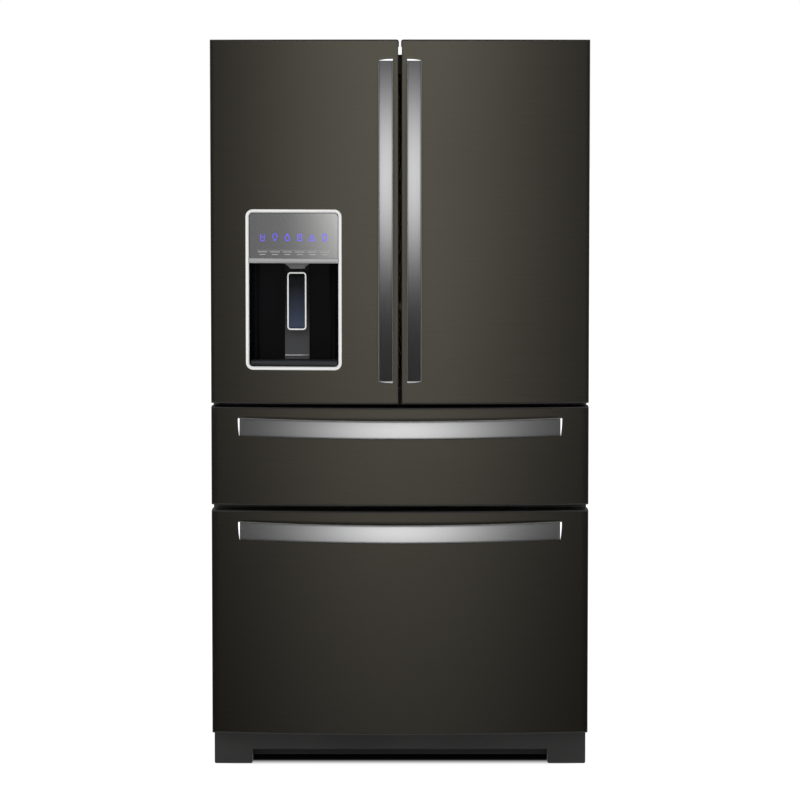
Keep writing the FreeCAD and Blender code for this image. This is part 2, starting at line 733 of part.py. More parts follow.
def make_drawer_front(name, z0, z1, open0, open1):
    """Skin, inner panel, foam, gasket and handle of a full-width drawer front."""
    x0, x1 = -half, half
    ridge = (-inner_half + ridge_inset, inner_half - ridge_inset, open0 + ridge_inset, open1 - ridge_inset)
    caps = [
        bowed(x0, x1, z0, z0 + cap_plate, rounded=True),
        bowed(x0, x1, z1 - cap_plate, z1, rounded=True),
    ]
    liner, foam = inner_panel(x0, x1, z0, z1, ridge, y_panel + drawer_ridge_depth, caps)
    low, high, rear = z0 + cap_plate, z1 - cap_plate, y_panel - liner_wall
    slab = bowed(x0 + sheet, x1 - sheet, low, high, sheet, rear, True)
    seal = gasket(
        -inner_half - seal_offset - seal_width,
        inner_half + seal_offset + seal_width,
        open0 - seal_offset - seal_width,
        open1 + seal_offset + seal_width,
    )
    save(f"{name}_skin", sheet_front(x0, x1, z0 + cap_plate, z1 - cap_plate))
    save(f"{name}_liner", liner)
    save(f"{name}_foam", group([slab] + foam))
    save(f"{name}_gasket", seal)
    save(f"{name}_handle", drawer_handle(z1 - drawer_handle_from_top))


# three nested members a side: fixed on the liner, a middle one, and one on the drawer
slide_wall_x = inner_half
fixed_x = (slide_wall_x - slide_member, slide_wall_x)
middle_x = (fixed_x[0] - slide_clearance - slide_member, fixed_x[0] - slide_clearance)
inner_x = (middle_x[0] - slide_clearance - slide_member, middle_x[0] - slide_clearance)
y_ridge_drawer = y_panel + drawer_ridge_depth


def channel(x_pair, y0, y1, z0, z1, groove):
    """A slide member: a bar with a shallow groove on its inner face."""
    bar = box(x_pair[0], x_pair[1], y0, y1, z0, z1)
    mid = (z0 + z1) / 2
    return bar.cut(box(x_pair[0] - 1, x_pair[0] + groove, y0 - 1, y1 + 1, mid - 7, mid + 7))


def make_slides(name, z0):
    """Members of one drawer's pair of slides. Returns the fixed ones, which the cabinet holds."""
    z1 = z0 + slide_height
    start = y_ridge_drawer + slide_setback
    fixed = both_sides(channel(fixed_x, start, start + slide_length, z0, z1, 3.0))
    middle = both_sides(channel(middle_x, start + 6, start + slide_length - 8, z0 + 2, z1 - 2, 3.0))
    save(f"{name}_slide_middles", middle)
    arm = box(inner_x[0], inner_x[1], y_ridge_drawer, start + slide_length - 14, z0 + 4, z1 - 4)
    foot = box(inner_x[0] - 22, inner_x[1], y_ridge_drawer, y_ridge_drawer + 3, z0 - 12, z1 + 12)
    save(f"{name}_drawer_rails", both_sides(fuse([arm, foot])))
    return fixed


def make_drawers():
    make_drawer_front("mid_drawer", mid_bottom, mid_top, mid_floor, mid_ceiling)
    make_drawer_front("freezer_drawer", freezer_bottom, freezer_top, freezer_floor, freezer_ceiling)
    mid_rail_z = mid_floor + 58.0
    freezer_rail_z = freezer_floor + 262.0
    fixed = [make_slides("mid", mid_rail_z), make_slides("freezer", freezer_rail_z)]
    save("slide_rails_fixed", group(fixed))

    # each tub hangs between the inner members on a rim that rests on them
    tub_half = inner_x[0]
    for name, rail_z, low, high, rear in (
        ("mid_drawer_tub", mid_rail_z, mid_floor + 12, mid_ceiling - 22, 165.0),
        ("freezer_basket", freezer_rail_z, freezer_floor + 14, freezer_rail_z + slide_height + 18, 118.0),
    ):
        front = y_ridge_drawer + 3.0
        body = tub(-tub_half, tub_half, front, rear, low, high)
        rim_z = rail_z + slide_height - 4
        flange = box(tub_half, inner_x[1], front + 4, rear - 16, rim_z, rim_z + 4)
        save(name, fuse([body, flange, mirror(flange)]))

    # upper freezer tray on ledges of the freezer liner
    low = freezer_rail_z + slide_height + 60
    tray = tub(-inner_half + 14, inner_half - 14, y_ridge_drawer + 40, 240.0, low, freezer_ceiling - 14)
    runner = box(inner_half - 14, inner_half - 1, y_ridge_drawer + 60, 225.0, low + 26, low + 30)
    save("freezer_tray", fuse([tray, runner, mirror(runner)]))
    return low + 26


# ---------------------------------------------------------------- cabinet
wrap_flange = 14.0
x_foam = cab_half - sheet
x_liner = inner_half + liner_wall
y_liner = y_inner + liner_wall


def liner_flange(z0, z1, open0, open1):
    """The front frame of a liner, from the wrapper's flange in to the opening."""
    face = box(-cab_half + wrap_flange, cab_half - wrap_flange, y_cabinet, y_cabinet + liner_wall, z0, z1)
    return face.cut(box(-inner_half, inner_half, y_cabinet - 1, y_cabinet + liner_wall + 1, open0, open1))


def compartment(z0, z1, flange0, flange1):
    """A liner box, open at the front, with its flange."""
    outer = box(-x_liner, x_liner, y_cabinet, y_liner, z0 - liner_wall, z1 + liner_wall)
    shell = fuse([outer, liner_flange(flange0, flange1, z0, z1)])
    return shell.cut(box(-inner_half, inner_half, y_cabinet - 1, y_inner, z0, z1))


def make_cabinet(tray_ledge):
    part1, part2 = (mid_ceiling + fridge_floor) / 2, (freezer_ceiling + mid_floor) / 2
    bottom_foam = freezer_floor - floor_wall

    # steel wrapper: sides and top in one bent sheet with a front flange
    wrap_low = bottom_foam
    wrap = box(-cab_half, cab_half, y_cabinet, y_back - sheet, wrap_low, cabinet_top)
    wrap = round_edges(wrap, (0, 1, 0), 6.0, lambda c: c.z > 1000)
    hollow = box(-x_foam, x_foam, y_cabinet + sheet, y_back, wrap_low - 1, cabinet_top - sheet)
    mouth_half = cab_half - wrap_flange
    mouth_top = cabinet_top - wrap_flange
    mouth = box(-mouth_half, mouth_half, y_cabinet - 1, y_cabinet + 2, wrap_low - 1, mouth_top)
    save("cabinet_wrapper", wrap.cut(hollow).cut(mouth))

    # back panel, and the vented cover of the machine compartment
    back = box(-cab_half, cab_half, y_back - sheet, y_back, machine_top, cabinet_top)
    save("cabinet_back_panel", back)
    cover_low = bottom_foam + 2
    cover = box(-cab_half + 4, cab_half - 4, y_back - sheet, y_back, cover_low, machine_top)
    slots = [
        box(x - 2.5, x + 2.5, y_back - 3, y_back + 1, z, z + 60)
        for z in (cover_low + 30, cover_low + 128)
        for x in [-330 + 22 * k for k in range(31)]
    ]
    inlet = rod(9.0, (330, y_back - 20, 250), (330, y_back, 250))
    gland = rod(10.0, (-380, y_back - 12, 110), (-380, y_back, 110))
    cover = fuse([cover.cut(Part.makeCompound(slots)), inlet, gland])
    cover = cover.cut(rod(3.25, (330, y_back - 16, 250), (330, y_back + 1, 250)))
    save("machine_cover", cover)

    # foam, as plain blocks that meet face to face
    x1, yf, yb = x_foam, y_cabinet + liner_wall, y_back - sheet
    z_top = cabinet_top - sheet
    blocks = []
    for s in (-1, 1):
        lo, hi = sorted((s * x_liner, s * x1))
        blocks.append(box(lo, hi, yf, machine_front, bottom_foam, z_top))
        blocks.append(box(lo, hi, machine_front, yb, machine_top, z_top))
    blocks += [
        box(-x_liner, x_liner, yf, yb, fridge_ceiling + liner_wall, z_top),
        box(-x_liner, x_liner, yf, y_liner, mid_ceiling + liner_wall, fridge_floor - liner_wall),
        box(-x_liner, x_liner, yf, y_liner, freezer_ceiling + liner_wall, mid_floor - liner_wall),
        box(-x_liner, x_liner, y_liner, yb, machine_top, fridge_ceiling + liner_wall),
        box(-x_liner, x_liner, yf, machine_front, bottom_foam, freezer_floor - liner_wall),
        box(
            -x_liner,
            x_liner,
            machine_front - step_wall + liner_wall,
            machine_front,
            freezer_floor - liner_wall,
            machine_top + step_wall - 2 * liner_wall,
        ),
        box(-x_liner, x_liner, machine_front, y_liner, machine_top, machine_top + step_wall - 2 * liner_wall),
    ]
    save("cabinet_foam", group(blocks))

    # fridge liner with the ribs that carry the crisper cover
    fridge = compartment(fridge_floor, fridge_ceiling, part1, cabinet_top - wrap_flange)
    rib_z = fridge_floor + crisper_height + 4
    rib = box(inner_half - 8, inner_half, shelf_front, shelf_rear - 10, rib_z, rib_z + 10)
    save("fridge_liner", fuse([fridge, rib, mirror(rib)]))

    # the two lower liners: the drawer's, and the freezer's with its step over the machine compartment
    mid = compartment(mid_floor, mid_ceiling, part2, part1)
    low = compartment(freezer_floor, freezer_ceiling, bottom_foam, part2)
    step_top = machine_top + step_wall - liner_wall
    step_front = machine_front - step_wall
    keep_out = box(
        -cab_half, cab_half, step_front + liner_wall, depth, 0, step_top - liner_wall
    )
    low = low.cut(keep_out)
    riser = box(-x_liner, x_liner, step_front, step_front + liner_wall, freezer_floor - liner_wall, step_top)
    deck = box(-x_liner, x_liner, step_front, y_liner, step_top - liner_wall, step_top)
    ledge_top = tray_ledge - slide_clearance
    ledge = box(inner_half - 12, inner_half, y_cabinet + 40, 250, ledge_top - 5.5, ledge_top)
    save("lower_liners", group([mid, fuse([low, riser, deck, ledge, mirror(ledge)])]))


def make_hinges():
    """Top hinges on the cabinet's roof and centre hinges on its front, each with a pin for a door."""
    solids = []
    for side in (-1, 1):
        x, y = side * pin_x, pin_y

        def span(inner, outer):
            return sorted((side * (pin_x - inner), side * (pin_x + outer)))

        z = cabinet_top
        lo, hi = span(cover_inner - cover_wall - 2, cover_nose - cover_wall - 1)
        root = box(lo, hi, y_cabinet + 2, y_cabinet + 92, z, z + hinge_plate)
        lo, hi = span(14, nose_radius)
        arm = box(lo, hi, y, y_cabinet + 30, z, z + hinge_plate)
        nose = rod(nose_radius, (x, y, z), (x, y, z + hinge_plate))
        pin = rod(pin_radius, (x, y, z - boss_height + 3), (x, y, z + 1))
        bolts = []
        for dy in (40, 75):
            low, high = z + hinge_plate - 1, z + hinge_plate + 4
            bolts.append(rod(6.0, (x - side * 3, y_cabinet + dy, low), (x - side * 3, y_cabinet + dy, high)))
        solids.append(fuse([root, arm, nose, pin] + bolts))

        z0 = mid_top + (door_gap - hinge_plate) / 2
        lo, hi = span(20, nose_radius)
        plate = box(lo, hi, y, y_cabinet, z0, z0 + hinge_plate)
        nose = rod(nose_radius, (x, y, z0), (x, y, z0 + hinge_plate))
        lo, hi = sorted((side * (cab_half - 2), side * (cab_half - 62)))
        leaf = box(lo, hi, y_cabinet - 3, y_cabinet, mid_top - 2.0, z0 + hinge_plate)
        collar = rod(nose_radius, (x, y, z0), (x, y, door_bottom - 0.3))
        pin = rod(pin_radius, (x, y, z0), (x, y, door_bottom + boss_height - 4))
        solids.append(fuse([plate, nose, leaf, collar, pin]))
    save("door_hinges", group(solids))

    # plastic covers over the top hinges, with a round nose inside the door's notch
    def hull(side, shrink, bottom, top):
        x, y = side * pin_x, pin_y
        lo, hi = sorted((side * (pin_x - cover_inner + shrink), side * (pin_x + cover_nose - shrink)))
        body = box(lo, hi, y_cabinet - 10 + shrink, y_cabinet + 110 - shrink, bottom, top)
        arm = box(lo, hi, y, y_cabinet, bottom, top)
        nose = rod(cover_nose - shrink, (x, y, bottom), (x, y, top))
        return fuse([body, arm, nose])

    cover_top = door_top - 2.0
    covers = []
    for side in (-1, 1):
        outer = hull(side, 0, cabinet_top, cover_top)
        outer = round_edges(outer, (0, 0, 1), 8.0, lambda c: c.y > y_cabinet + 50)
        covers.append(outer.cut(hull(side, cover_wall, cabinet_top - 1, cover_top - cover_wall)))
    save("hinge_covers", group(covers))


def make_base():
    """Steel base frame, roller axle, legs, toe grille, and what the machine compartment holds."""
    rail_in = cab_half - 20
    rail_top = freezer_floor - floor_wall - plate_thick
    rails = [box(rail_in, x_foam, y_cabinet + 15, y_back - 2, rail_bottom, rail_top + plate_thick)]
    rails += [mirror(rails[0])]
    front = box(-cab_half + 2, cab_half - 2, y_cabinet + 25, y_cabinet + 37, 14, rail_top)
    plate = box(-rail_in, rail_in, y_cabinet + 15, machine_front, rail_top, rail_top + plate_thick)
    pan = box(-cab_half + 2, cab_half - 2, machine_front, y_back - 2, rail_bottom, rail_bottom + 2)
    wall = box(-cab_half + 2, cab_half - 2, machine_front, machine_front + 1.5, rail_bottom, machine_top)
    leg_x, leg_y = cab_half - 36, y_cabinet + 60
    wheel_x = (cab_half - 64, cab_half - 42)
    extras = []
    for s in (-1, 1):
        ends = sorted((s * (leg_x - 20), s * (cab_half - 2)))
        extras.append(box(ends[0], ends[1], y_cabinet + 25, leg_y + 20, rail_top - 16, rail_top))
        for dx in (36, 66):
            bx = sorted((s * (cab_half - dx), s * (cab_half - dx - 4)))
            extras.append(box(bx[0], bx[1], roller_y - 14, roller_y + 14, roller_radius - 9, rail_bottom + 1))
    frame = fuse(rails + [front, plate, pan, wall] + extras)
    for s in (-1, 1):
        ends = sorted((s * (wheel_x[0] - 1.5), s * (wheel_x[1] + 1.5)))
        reach = roller_radius + 3
        well = box(ends[0], ends[1], roller_y - reach, roller_y + reach, rail_bottom - 1, rail_bottom + 3)
        frame = frame.cut(well)
    left, right = (-cab_half, roller_y, roller_radius), (cab_half, roller_y, roller_radius)
    axle_bore = rod(axle_radius + running, left, right)
    brackets = box(-cab_half + 30, cab_half - 30, roller_y - 20, roller_y + 20, 0, rail_bottom)
    frame = frame.cut(axle_bore.common(brackets))
    legs = []
    for s in (-1, 1):
        pad = rod(leg_pad_radius, (s * leg_x, leg_y, 0), (s * leg_x, leg_y, 8))
        stem = rod(6.0, (s * leg_x, leg_y, 8), (s * leg_x, leg_y, rail_top - 2))
        nut = rod(10.0, (s * leg_x, leg_y, 14), (s * leg_x, leg_y, 22))
        legs.append(fuse([pad, stem, nut]))
        frame = frame.cut(rod(6.0, (s * leg_x, leg_y, 0), (s * leg_x, leg_y, rail_top - 2)))
    save("base_frame", frame)
    save("leveling_legs", group(legs))

    wheel = rod(roller_radius, (wheel_x[0], roller_y, roller_radius), (wheel_x[1], roller_y, roller_radius))
    tip = cab_half - 34
    axle = rod(axle_radius, (-tip, roller_y, roller_radius), (tip, roller_y, roller_radius))
    save("rear_rollers", fuse([axle, wheel, mirror(wheel)]))

    # toe grille: one moulding with a strip and two foot covers, clipped to the front member
    gy = y_edge + grille_setback
    strip = box(-cab_half + 1, cab_half - 1, gy, gy + 4, grille_bottom, grille_top)
    cover_in = cab_half - 1 - foot_cover_width
    cover_back = y_cabinet - 1
    cover = box(cover_in, cab_half - 1, gy, cover_back, floor_clear, grille_top)
    cover = round_edges(cover, (0, 1, 0), 4.0, lambda c: c.z < 20)
    cover = cover.cut(box(cover_in + 3, cab_half - 4, gy + 3, cover_back + 1, -1, grille_top - 3))
    clip = box(250, 262, gy + 4, y_cabinet + 25, grille_bottom + 4, rail_top - 4)
    lip = box(-cab_half + 1, cab_half - 1, gy, gy + 16, grille_bottom, grille_bottom + 3)
    save("toe_grille", fuse([strip, lip, cover, mirror(cover), clip, mirror(clip)]))


def make_machinery():
    """Compressor, condenser and fan in the machine compartment, and the evaporator behind its cover."""
    cx, cy, base = -240.0, 305.0, rail_bottom + 2
    feet = [
        rod(12.0, (cx + dx, cy + dy, base), (cx + dx, cy + dy, base + 14))
        for dx in (-75, 75)
        for dy in (-50, 50)
    ]
    plate = box(cx - 95, cx + 95, cy - 66, cy + 66, base + 14, base + 18)
    shell = rod(78.0, (cx, cy, base + 18), (cx, cy, base + 168))
    circles = [e for e in shell.Edges if isinstance(e.Curve, Part.Circle)]
    shell = shell.makeFillet(30.0, circles)
    neck = rod(30.0, (cx, cy, base + 160), (cx, cy, base + 182))
    terminal = box(cx - 118, cx - 60, cy - 26, cy + 26, base + 70, base + 130)
    tube = rod(4.0, (cx + 60, cy, base + 110), (cx + 110, cy, base + 110))
    riser = rod(4.0, (cx + 106, cy, base + 110), (cx + 106, cy, base + 200))
    save("compressor", fuse(feet + [plate, shell, neck, terminal, tube, riser]))

    # fan and shroud share an axis along X
    fan_x, fan_y, fan_z, fan_r = 20.0, 305.0, 150.0, 84.0
    shroud = box(fan_x - 4, fan_x + 36, fan_y - 104, fan_y + 104, base, base + 236)
    hole = rod(fan_r + 4, (fan_x - 5, fan_y, fan_z), (fan_x + 37, fan_y, fan_z))
    shroud = shroud.cut(hole)
    spokes = [
        box(fan_x + 30, fan_x + 36, fan_y - 100, fan_y + 100, fan_z - 5, fan_z + 5),
        box(fan_x + 30, fan_x + 36, fan_y - 5, fan_y + 5, fan_z - 100, fan_z + 100),
        rod(24.0, (fan_x + 30, fan_y, fan_z), (fan_x + 60, fan_y, fan_z)),
        rod(4.0, (fan_x + 4, fan_y, fan_z), (fan_x + 31, fan_y, fan_z)),
    ]
    fins = [box(90 + 12 * k, 92 + 12 * k, fan_y - 95, fan_y + 95, base, base + 220) for k in range(12)]
    tubes = [
        rod(5.0, (86, y, z), (228, y, z))
        for y in (fan_y - 60, fan_y, fan_y + 60)
        for z in (base + 45, base + 110, base + 175)
    ]
    save("condenser", group([fuse([shroud] + spokes), fuse(fins + tubes)]))

    hub = rod(20.0, (fan_x + 2, fan_y, fan_z), (fan_x + 26, fan_y, fan_z))
    blades = []
    for k in range(5):
        blade = box(fan_x + 12, fan_x + 14.5, fan_y - 24, fan_y + 24, fan_z + 14, fan_z + fan_r - 2)
        blade = blade.rotate(Vector(fan_x + 13, fan_y, fan_z), Vector(0, 0, 1), 24)
        blade = blade.rotate(Vector(fan_x, fan_y, fan_z), Vector(1, 0, 0), 72 * k)
        blades.append(blade)
    rotor = fuse([hub] + blades).common(rod(fan_r, (fan_x - 4, fan_y, fan_z), (fan_x + 40, fan_y, fan_z)))
    rotor = rotor.cut(rod(4.0 + running, (fan_x + 3.9, fan_y, fan_z), (fan_x + 40, fan_y, fan_z)))
    save("condenser_fan", rotor)

    # evaporator on the freezer's back wall, behind a slotted cover
    e0, e1 = y_inner - 48, y_inner
    z0 = machine_top + step_wall + 14
    fins = [box(-280 + 40 * k, -278 + 40 * k, e0, e1, z0, z0 + 170) for k in range(15)]
    tubes = [
        rod(4.0, (-300, y, z), (300, y, z))
        for y in (e0 + 12, e0 + 34)
        for z in (z0 + 25, z0 + 85, z0 + 145)
    ]
    save("evaporator", fuse(fins + tubes))
    cover_z0 = machine_top + step_wall - liner_wall
    face = box(-inner_half + 1, inner_half - 1, e0 - 8, e0 - 5, cover_z0, freezer_ceiling - 1)
    slots = [
        box(-220 + 55 * k, -185 + 55 * k, e0 - 9, e0 - 4, z, z + 8)
        for k in range(8)
        for z in (cover_z0 + 24, freezer_ceiling - 34)
    ]
    stay_z0, stay_z1 = freezer_ceiling - 24, freezer_ceiling - 1
    stays = [box(x - 6, x + 6, e0 - 5, y_inner, stay_z0, stay_z1) for x in (-360, 360)]
    cover = fuse([face] + stays)
    save("evaporator_cover", cover.cut(Part.makeCompound(slots)))


def make_fridge_inside():
    """Air duct, shelves with their tracks and glass, and the two crispers."""
    crisper_top = fridge_floor + crisper_height
    cover_z = crisper_top + 14.3
    duct_y = y_inner - 8
    duct = box(-110, 110, duct_y, y_inner, cover_z + 40, fridge_ceiling - 14)
    duct = round_edges(duct, (0, 1, 0), 14.0)
    vents = [
        box(s * 66 - 26, s * 66 + 26, duct_y - 1, duct_y + 4, z, z + 7)
        for s in (-1, 1)
        for z in [cover_z + 110 + 95 * k for k in range(5)]
    ]
    save("fridge_air_duct", duct.cut(Part.makeCompound(vents)))

    # steel tracks at the back wall carry the half shelves; the crisper cover lies on the liner's ribs
    track_y = duct_y - 8
    solids, panes = [], []
    side_in, side_out = inner_half - 25, inner_half - 7
    for x0, x1, y1 in ((-20, 20, duct_y), (-side_out, -side_in, y_inner), (side_in, side_out, y_inner)):
        solids.append(box(x0, x1, track_y, y1, cover_z + 60, fridge_ceiling - 40))
    outer = inner_half - 8
    for side, z in ((-1, 1290.0), (1, 1250.0), (-1, 1480.0), (1, 1455.0)):
        ends = sorted((side * outer, side * 8))
        rim = flat_ring(ends[0], ends[1], shelf_front, shelf_rear, shelf_rim, z, z + shelf_thick)
        in_x0, in_x1 = ends[0] + shelf_rim, ends[1] - shelf_rim
        in_y0, in_y1 = shelf_front + shelf_rim, shelf_rear - shelf_rim
        seat = flat_ring(in_x0, in_x1, in_y0, in_y1, 6, z, z + 6)
        arms = []
        for ax0, ax1 in ((ends[0], ends[0] + 8), (ends[1] - 8, ends[1])):
            arms.append(box(ax0, ax1, shelf_rear - 120, track_y, z - 22, z))
            arms.append(box(ax0, ax1, shelf_rear, track_y, z, z + shelf_thick))
        solids.append(fuse([rim, seat] + arms))
        panes.append(box(in_x0, in_x1, in_y0, in_y1, z + 6, z + 6 + glass_thick))
    wide = inner_half - 1
    rim = flat_ring(-wide, wide, shelf_front, shelf_rear, shelf_rim, cover_z, cover_z + shelf_thick)
    in_x, in_y0, in_y1 = wide - shelf_rim, shelf_front + shelf_rim, shelf_rear - shelf_rim
    seat = flat_ring(-in_x, in_x, in_y0, in_y1, 6, cover_z, cover_z + 6)
    middle = box(-8, 8, in_y0, in_y1, cover_z, cover_z + 6)
    solids.append(fuse([rim, seat, middle]))
    panes.append(box(-in_x, in_x, in_y0, in_y1, cover_z + 6, cover_z + 6 + glass_thick))
    save("shelf_frames", group(solids))
    save("shelf_glass", group(panes))

    for name, side in (("crisper_left", -1), ("crisper_right", 1)):
        ends = sorted((side * (inner_half - 4), side * 4))
        z0 = fridge_floor + slide_clearance
        body = tub(ends[0], ends[1], crisper_front, 300.0, z0, crisper_top)
        face = box(ends[0], ends[1], crisper_front - 6, crisper_front + 1, z0, crisper_top)
        face = round_edges(face, (0, 1, 0), 10.0)
        mid = (ends[0] + ends[1]) / 2
        grip_z = crisper_top - 34
        grip = box(mid - 90, mid + 90, crisper_front - 14, crisper_front - 5, grip_z, grip_z + 8)
        save(name, fuse([body, face, grip]))


for door_side in (-1, 1):
    make_door(door_side)
make_mullion()
make_dispenser()
make_ice_box()
make_door_bins()
make_cabinet(make_drawers())
make_hinges()
make_base()
make_machinery()
make_fridge_inside()
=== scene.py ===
import json
import math

import bmesh
import bpy
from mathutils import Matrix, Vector


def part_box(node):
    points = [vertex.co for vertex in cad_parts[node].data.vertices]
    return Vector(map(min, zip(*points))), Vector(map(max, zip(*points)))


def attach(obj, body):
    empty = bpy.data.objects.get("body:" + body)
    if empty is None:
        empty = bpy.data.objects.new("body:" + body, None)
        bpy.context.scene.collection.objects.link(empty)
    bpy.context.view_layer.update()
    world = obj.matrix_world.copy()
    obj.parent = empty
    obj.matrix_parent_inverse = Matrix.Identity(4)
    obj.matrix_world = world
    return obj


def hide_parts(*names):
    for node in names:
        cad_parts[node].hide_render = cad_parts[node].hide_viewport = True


# Looks of a french door refrigerator with a black stainless finish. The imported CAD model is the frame.
# Metres. X runs left to right as seen from the front, Y from the front to the back, and Z is up.
# The front sheets, handles, dispenser trim and the cabinet's upper folds are built here. The other CAD nodes
# stay, with softened edges.

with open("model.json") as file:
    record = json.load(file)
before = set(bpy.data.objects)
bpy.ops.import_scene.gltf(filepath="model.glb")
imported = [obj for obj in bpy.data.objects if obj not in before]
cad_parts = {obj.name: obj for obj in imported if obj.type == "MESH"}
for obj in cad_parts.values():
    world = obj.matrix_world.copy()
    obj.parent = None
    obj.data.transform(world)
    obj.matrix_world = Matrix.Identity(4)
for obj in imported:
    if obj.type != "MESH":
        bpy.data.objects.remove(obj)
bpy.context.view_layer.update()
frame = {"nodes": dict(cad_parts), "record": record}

# ---------------------------------------------------------------- sizes that follow the frame
skin_low, skin_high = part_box("freezer_drawer_skin")
half = skin_high.x
y_crown = skin_low.y
y_panel = skin_high.y
front_bulge = 0.0345
bow_radius = (half**2 + front_bulge**2) / (2 * front_bulge)
bow_centre = y_crown + bow_radius
sheet = 0.001
edge_round = {"outer": 0.0028, "gap": 0.0012}  # vertical edges at the cabinet's sides, and beside the gap

opening_low, opening_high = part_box("dispenser_bezel")
bezel_bar = 0.007  # width of the CAD surround's bar
bezel_face = 0.0062  # width of the bar that is seen
bezel_lip = 0.0015
bezel_proud = 0.003
opening_round = 0.011
hole_x = (opening_low.x + bezel_bar, opening_high.x - bezel_bar)
hole_z = (opening_low.z + bezel_bar, opening_high.z - bezel_bar)


def front_y(x, out=0.0):
    """Y of the bowed surface that all four fronts share, or of one that far in front of it."""
    return bow_centre - math.sqrt((bow_radius + out) ** 2 - x * x)


# ---------------------------------------------------------------- mesh helpers
sharp_angle = math.radians(38.0)
merge_distance = 1e-6


def new_object(name, verts, faces, material):
    """An object in the scene with one mesh and one material."""
    mesh = bpy.data.meshes.new(name)
    mesh.from_pydata([tuple(v) for v in verts], [], faces)
    mesh.materials.append(material)
    made = bpy.data.objects.new(name, mesh)
    bpy.context.scene.collection.objects.link(made)
    return made


def add_piece(name, verts, faces, material, body, slot):
    """A smooth-shaded mesh in the row frame that rides on a body."""
    piece = new_object(name, verts, faces, material)
    mesh = piece.data
    work = bmesh.new()
    work.from_mesh(mesh)
    bmesh.ops.remove_doubles(work, verts=work.verts, dist=merge_distance)
    bmesh.ops.recalc_face_normals(work, faces=work.faces)
    work.to_mesh(mesh)
    work.free()
    mesh.shade_smooth()
    mesh.set_sharp_from_angle(angle=sharp_angle)
    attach(piece, body)
    return piece


def soften(piece, width, segments=3, angle=35.0):
    """Rounds a piece's hard edges and keeps its flat faces flat."""
    bevel = piece.modifiers.new("soft_edges", "BEVEL")
    bevel.width = width
    bevel.segments = segments
    bevel.limit_method = "ANGLE"
    bevel.angle_limit = math.radians(angle)
    bevel.harden_normals = True
    return piece


def loft(rings, loop=False):
    """Vertices and faces of a surface through closed rings, with end faces unless it closes on itself."""
    count = len(rings[0])
    verts = [point for ring in rings for point in ring]
    faces = []
    for i in range(len(rings) if loop else len(rings) - 1):
        a, b = i * count, (i + 1) % len(rings) * count
        for k in range(count):
            n = (k + 1) % count
            faces.append((a + k, a + n, b + n, b + k))
    if not loop:
        faces.append(tuple(reversed(range(count))))
        faces.append(tuple(range(len(verts) - count, len(verts))))
    return verts, faces


def grid(columns, rows, place, keep=lambda column, row: True):
    """Vertices and faces of a sheet: place(c, r) gives a point, and keep(c, r) says if a cell exists."""
    verts = [place(c, r) for c in range(columns) for r in range(rows)]
    faces = []
    for c in range(columns - 1):
        for r in range(rows - 1):
            if keep(c, r):
                a = c * rows + r
                faces.append((a, a + rows, a + rows + 1, a + 1))
    return verts, faces


def spread(low, high, count):
    """count + 1 evenly spaced values from low to high."""
    return [low + (high - low) * i / count for i in range(count + 1)]


def arc(centre_x, centre_z, radius, start, end, steps):
    """Points on an arc in degrees, as pairs."""
    turns = [math.radians(t) for t in spread(start, end, steps)]
    return [(centre_x + radius * math.cos(t), centre_z + radius * math.sin(t)) for t in turns]


def sagitta(offset, reach, drop):
    """How far an arc of that half length and drop has fallen away at an offset from its middle."""
    radius = (reach * reach + drop * drop) / (2 * drop)
    return radius - math.sqrt(radius * radius - offset * offset)


def rounded_outline(x, z, radius, along=8, round_steps=8):
    """Stations round a rounded rectangle: (point x, point z, outward x, outward z), anticlockwise."""
    corners = [(x[1], z[0], -90), (x[1], z[1], 0), (x[0], z[1], 90), (x[0], z[0], 180)]
    stations = []
    for cx, cz, start in corners:
        ix = cx - math.copysign(radius, cx - (x[0] + x[1]) / 2)
        iz = cz - math.copysign(radius, cz - (z[0] + z[1]) / 2)
        for turn in spread(start, start + 90, round_steps):
            nx, nz = math.cos(math.radians(turn)), math.sin(math.radians(turn))
            stations.append((ix + radius * nx, iz + radius * nz, nx, nz))
    full = []
    for here, after in zip(stations, stations[1:] + stations[:1]):
        full.append(here)
        far = math.dist(here[:2], after[:2])
        if far > radius:
            for t in spread(0, 1, along)[1:-1]:
                point = [h + (a - h) * t for h, a in zip(here[:2], after[:2])]
                full.append((point[0], point[1], here[2], here[3]))
    return full


def frame_loft(stations, section, depth):
    """A moulding whose section, pairs of (outward, proud), follows stations round an outline."""
    rings = []
    for px, pz, nx, nz in stations:
        rings.append([(px + nx * o, depth(px + nx * o) - p, pz + nz * o) for o, p in section])
    return loft(rings, loop=True)


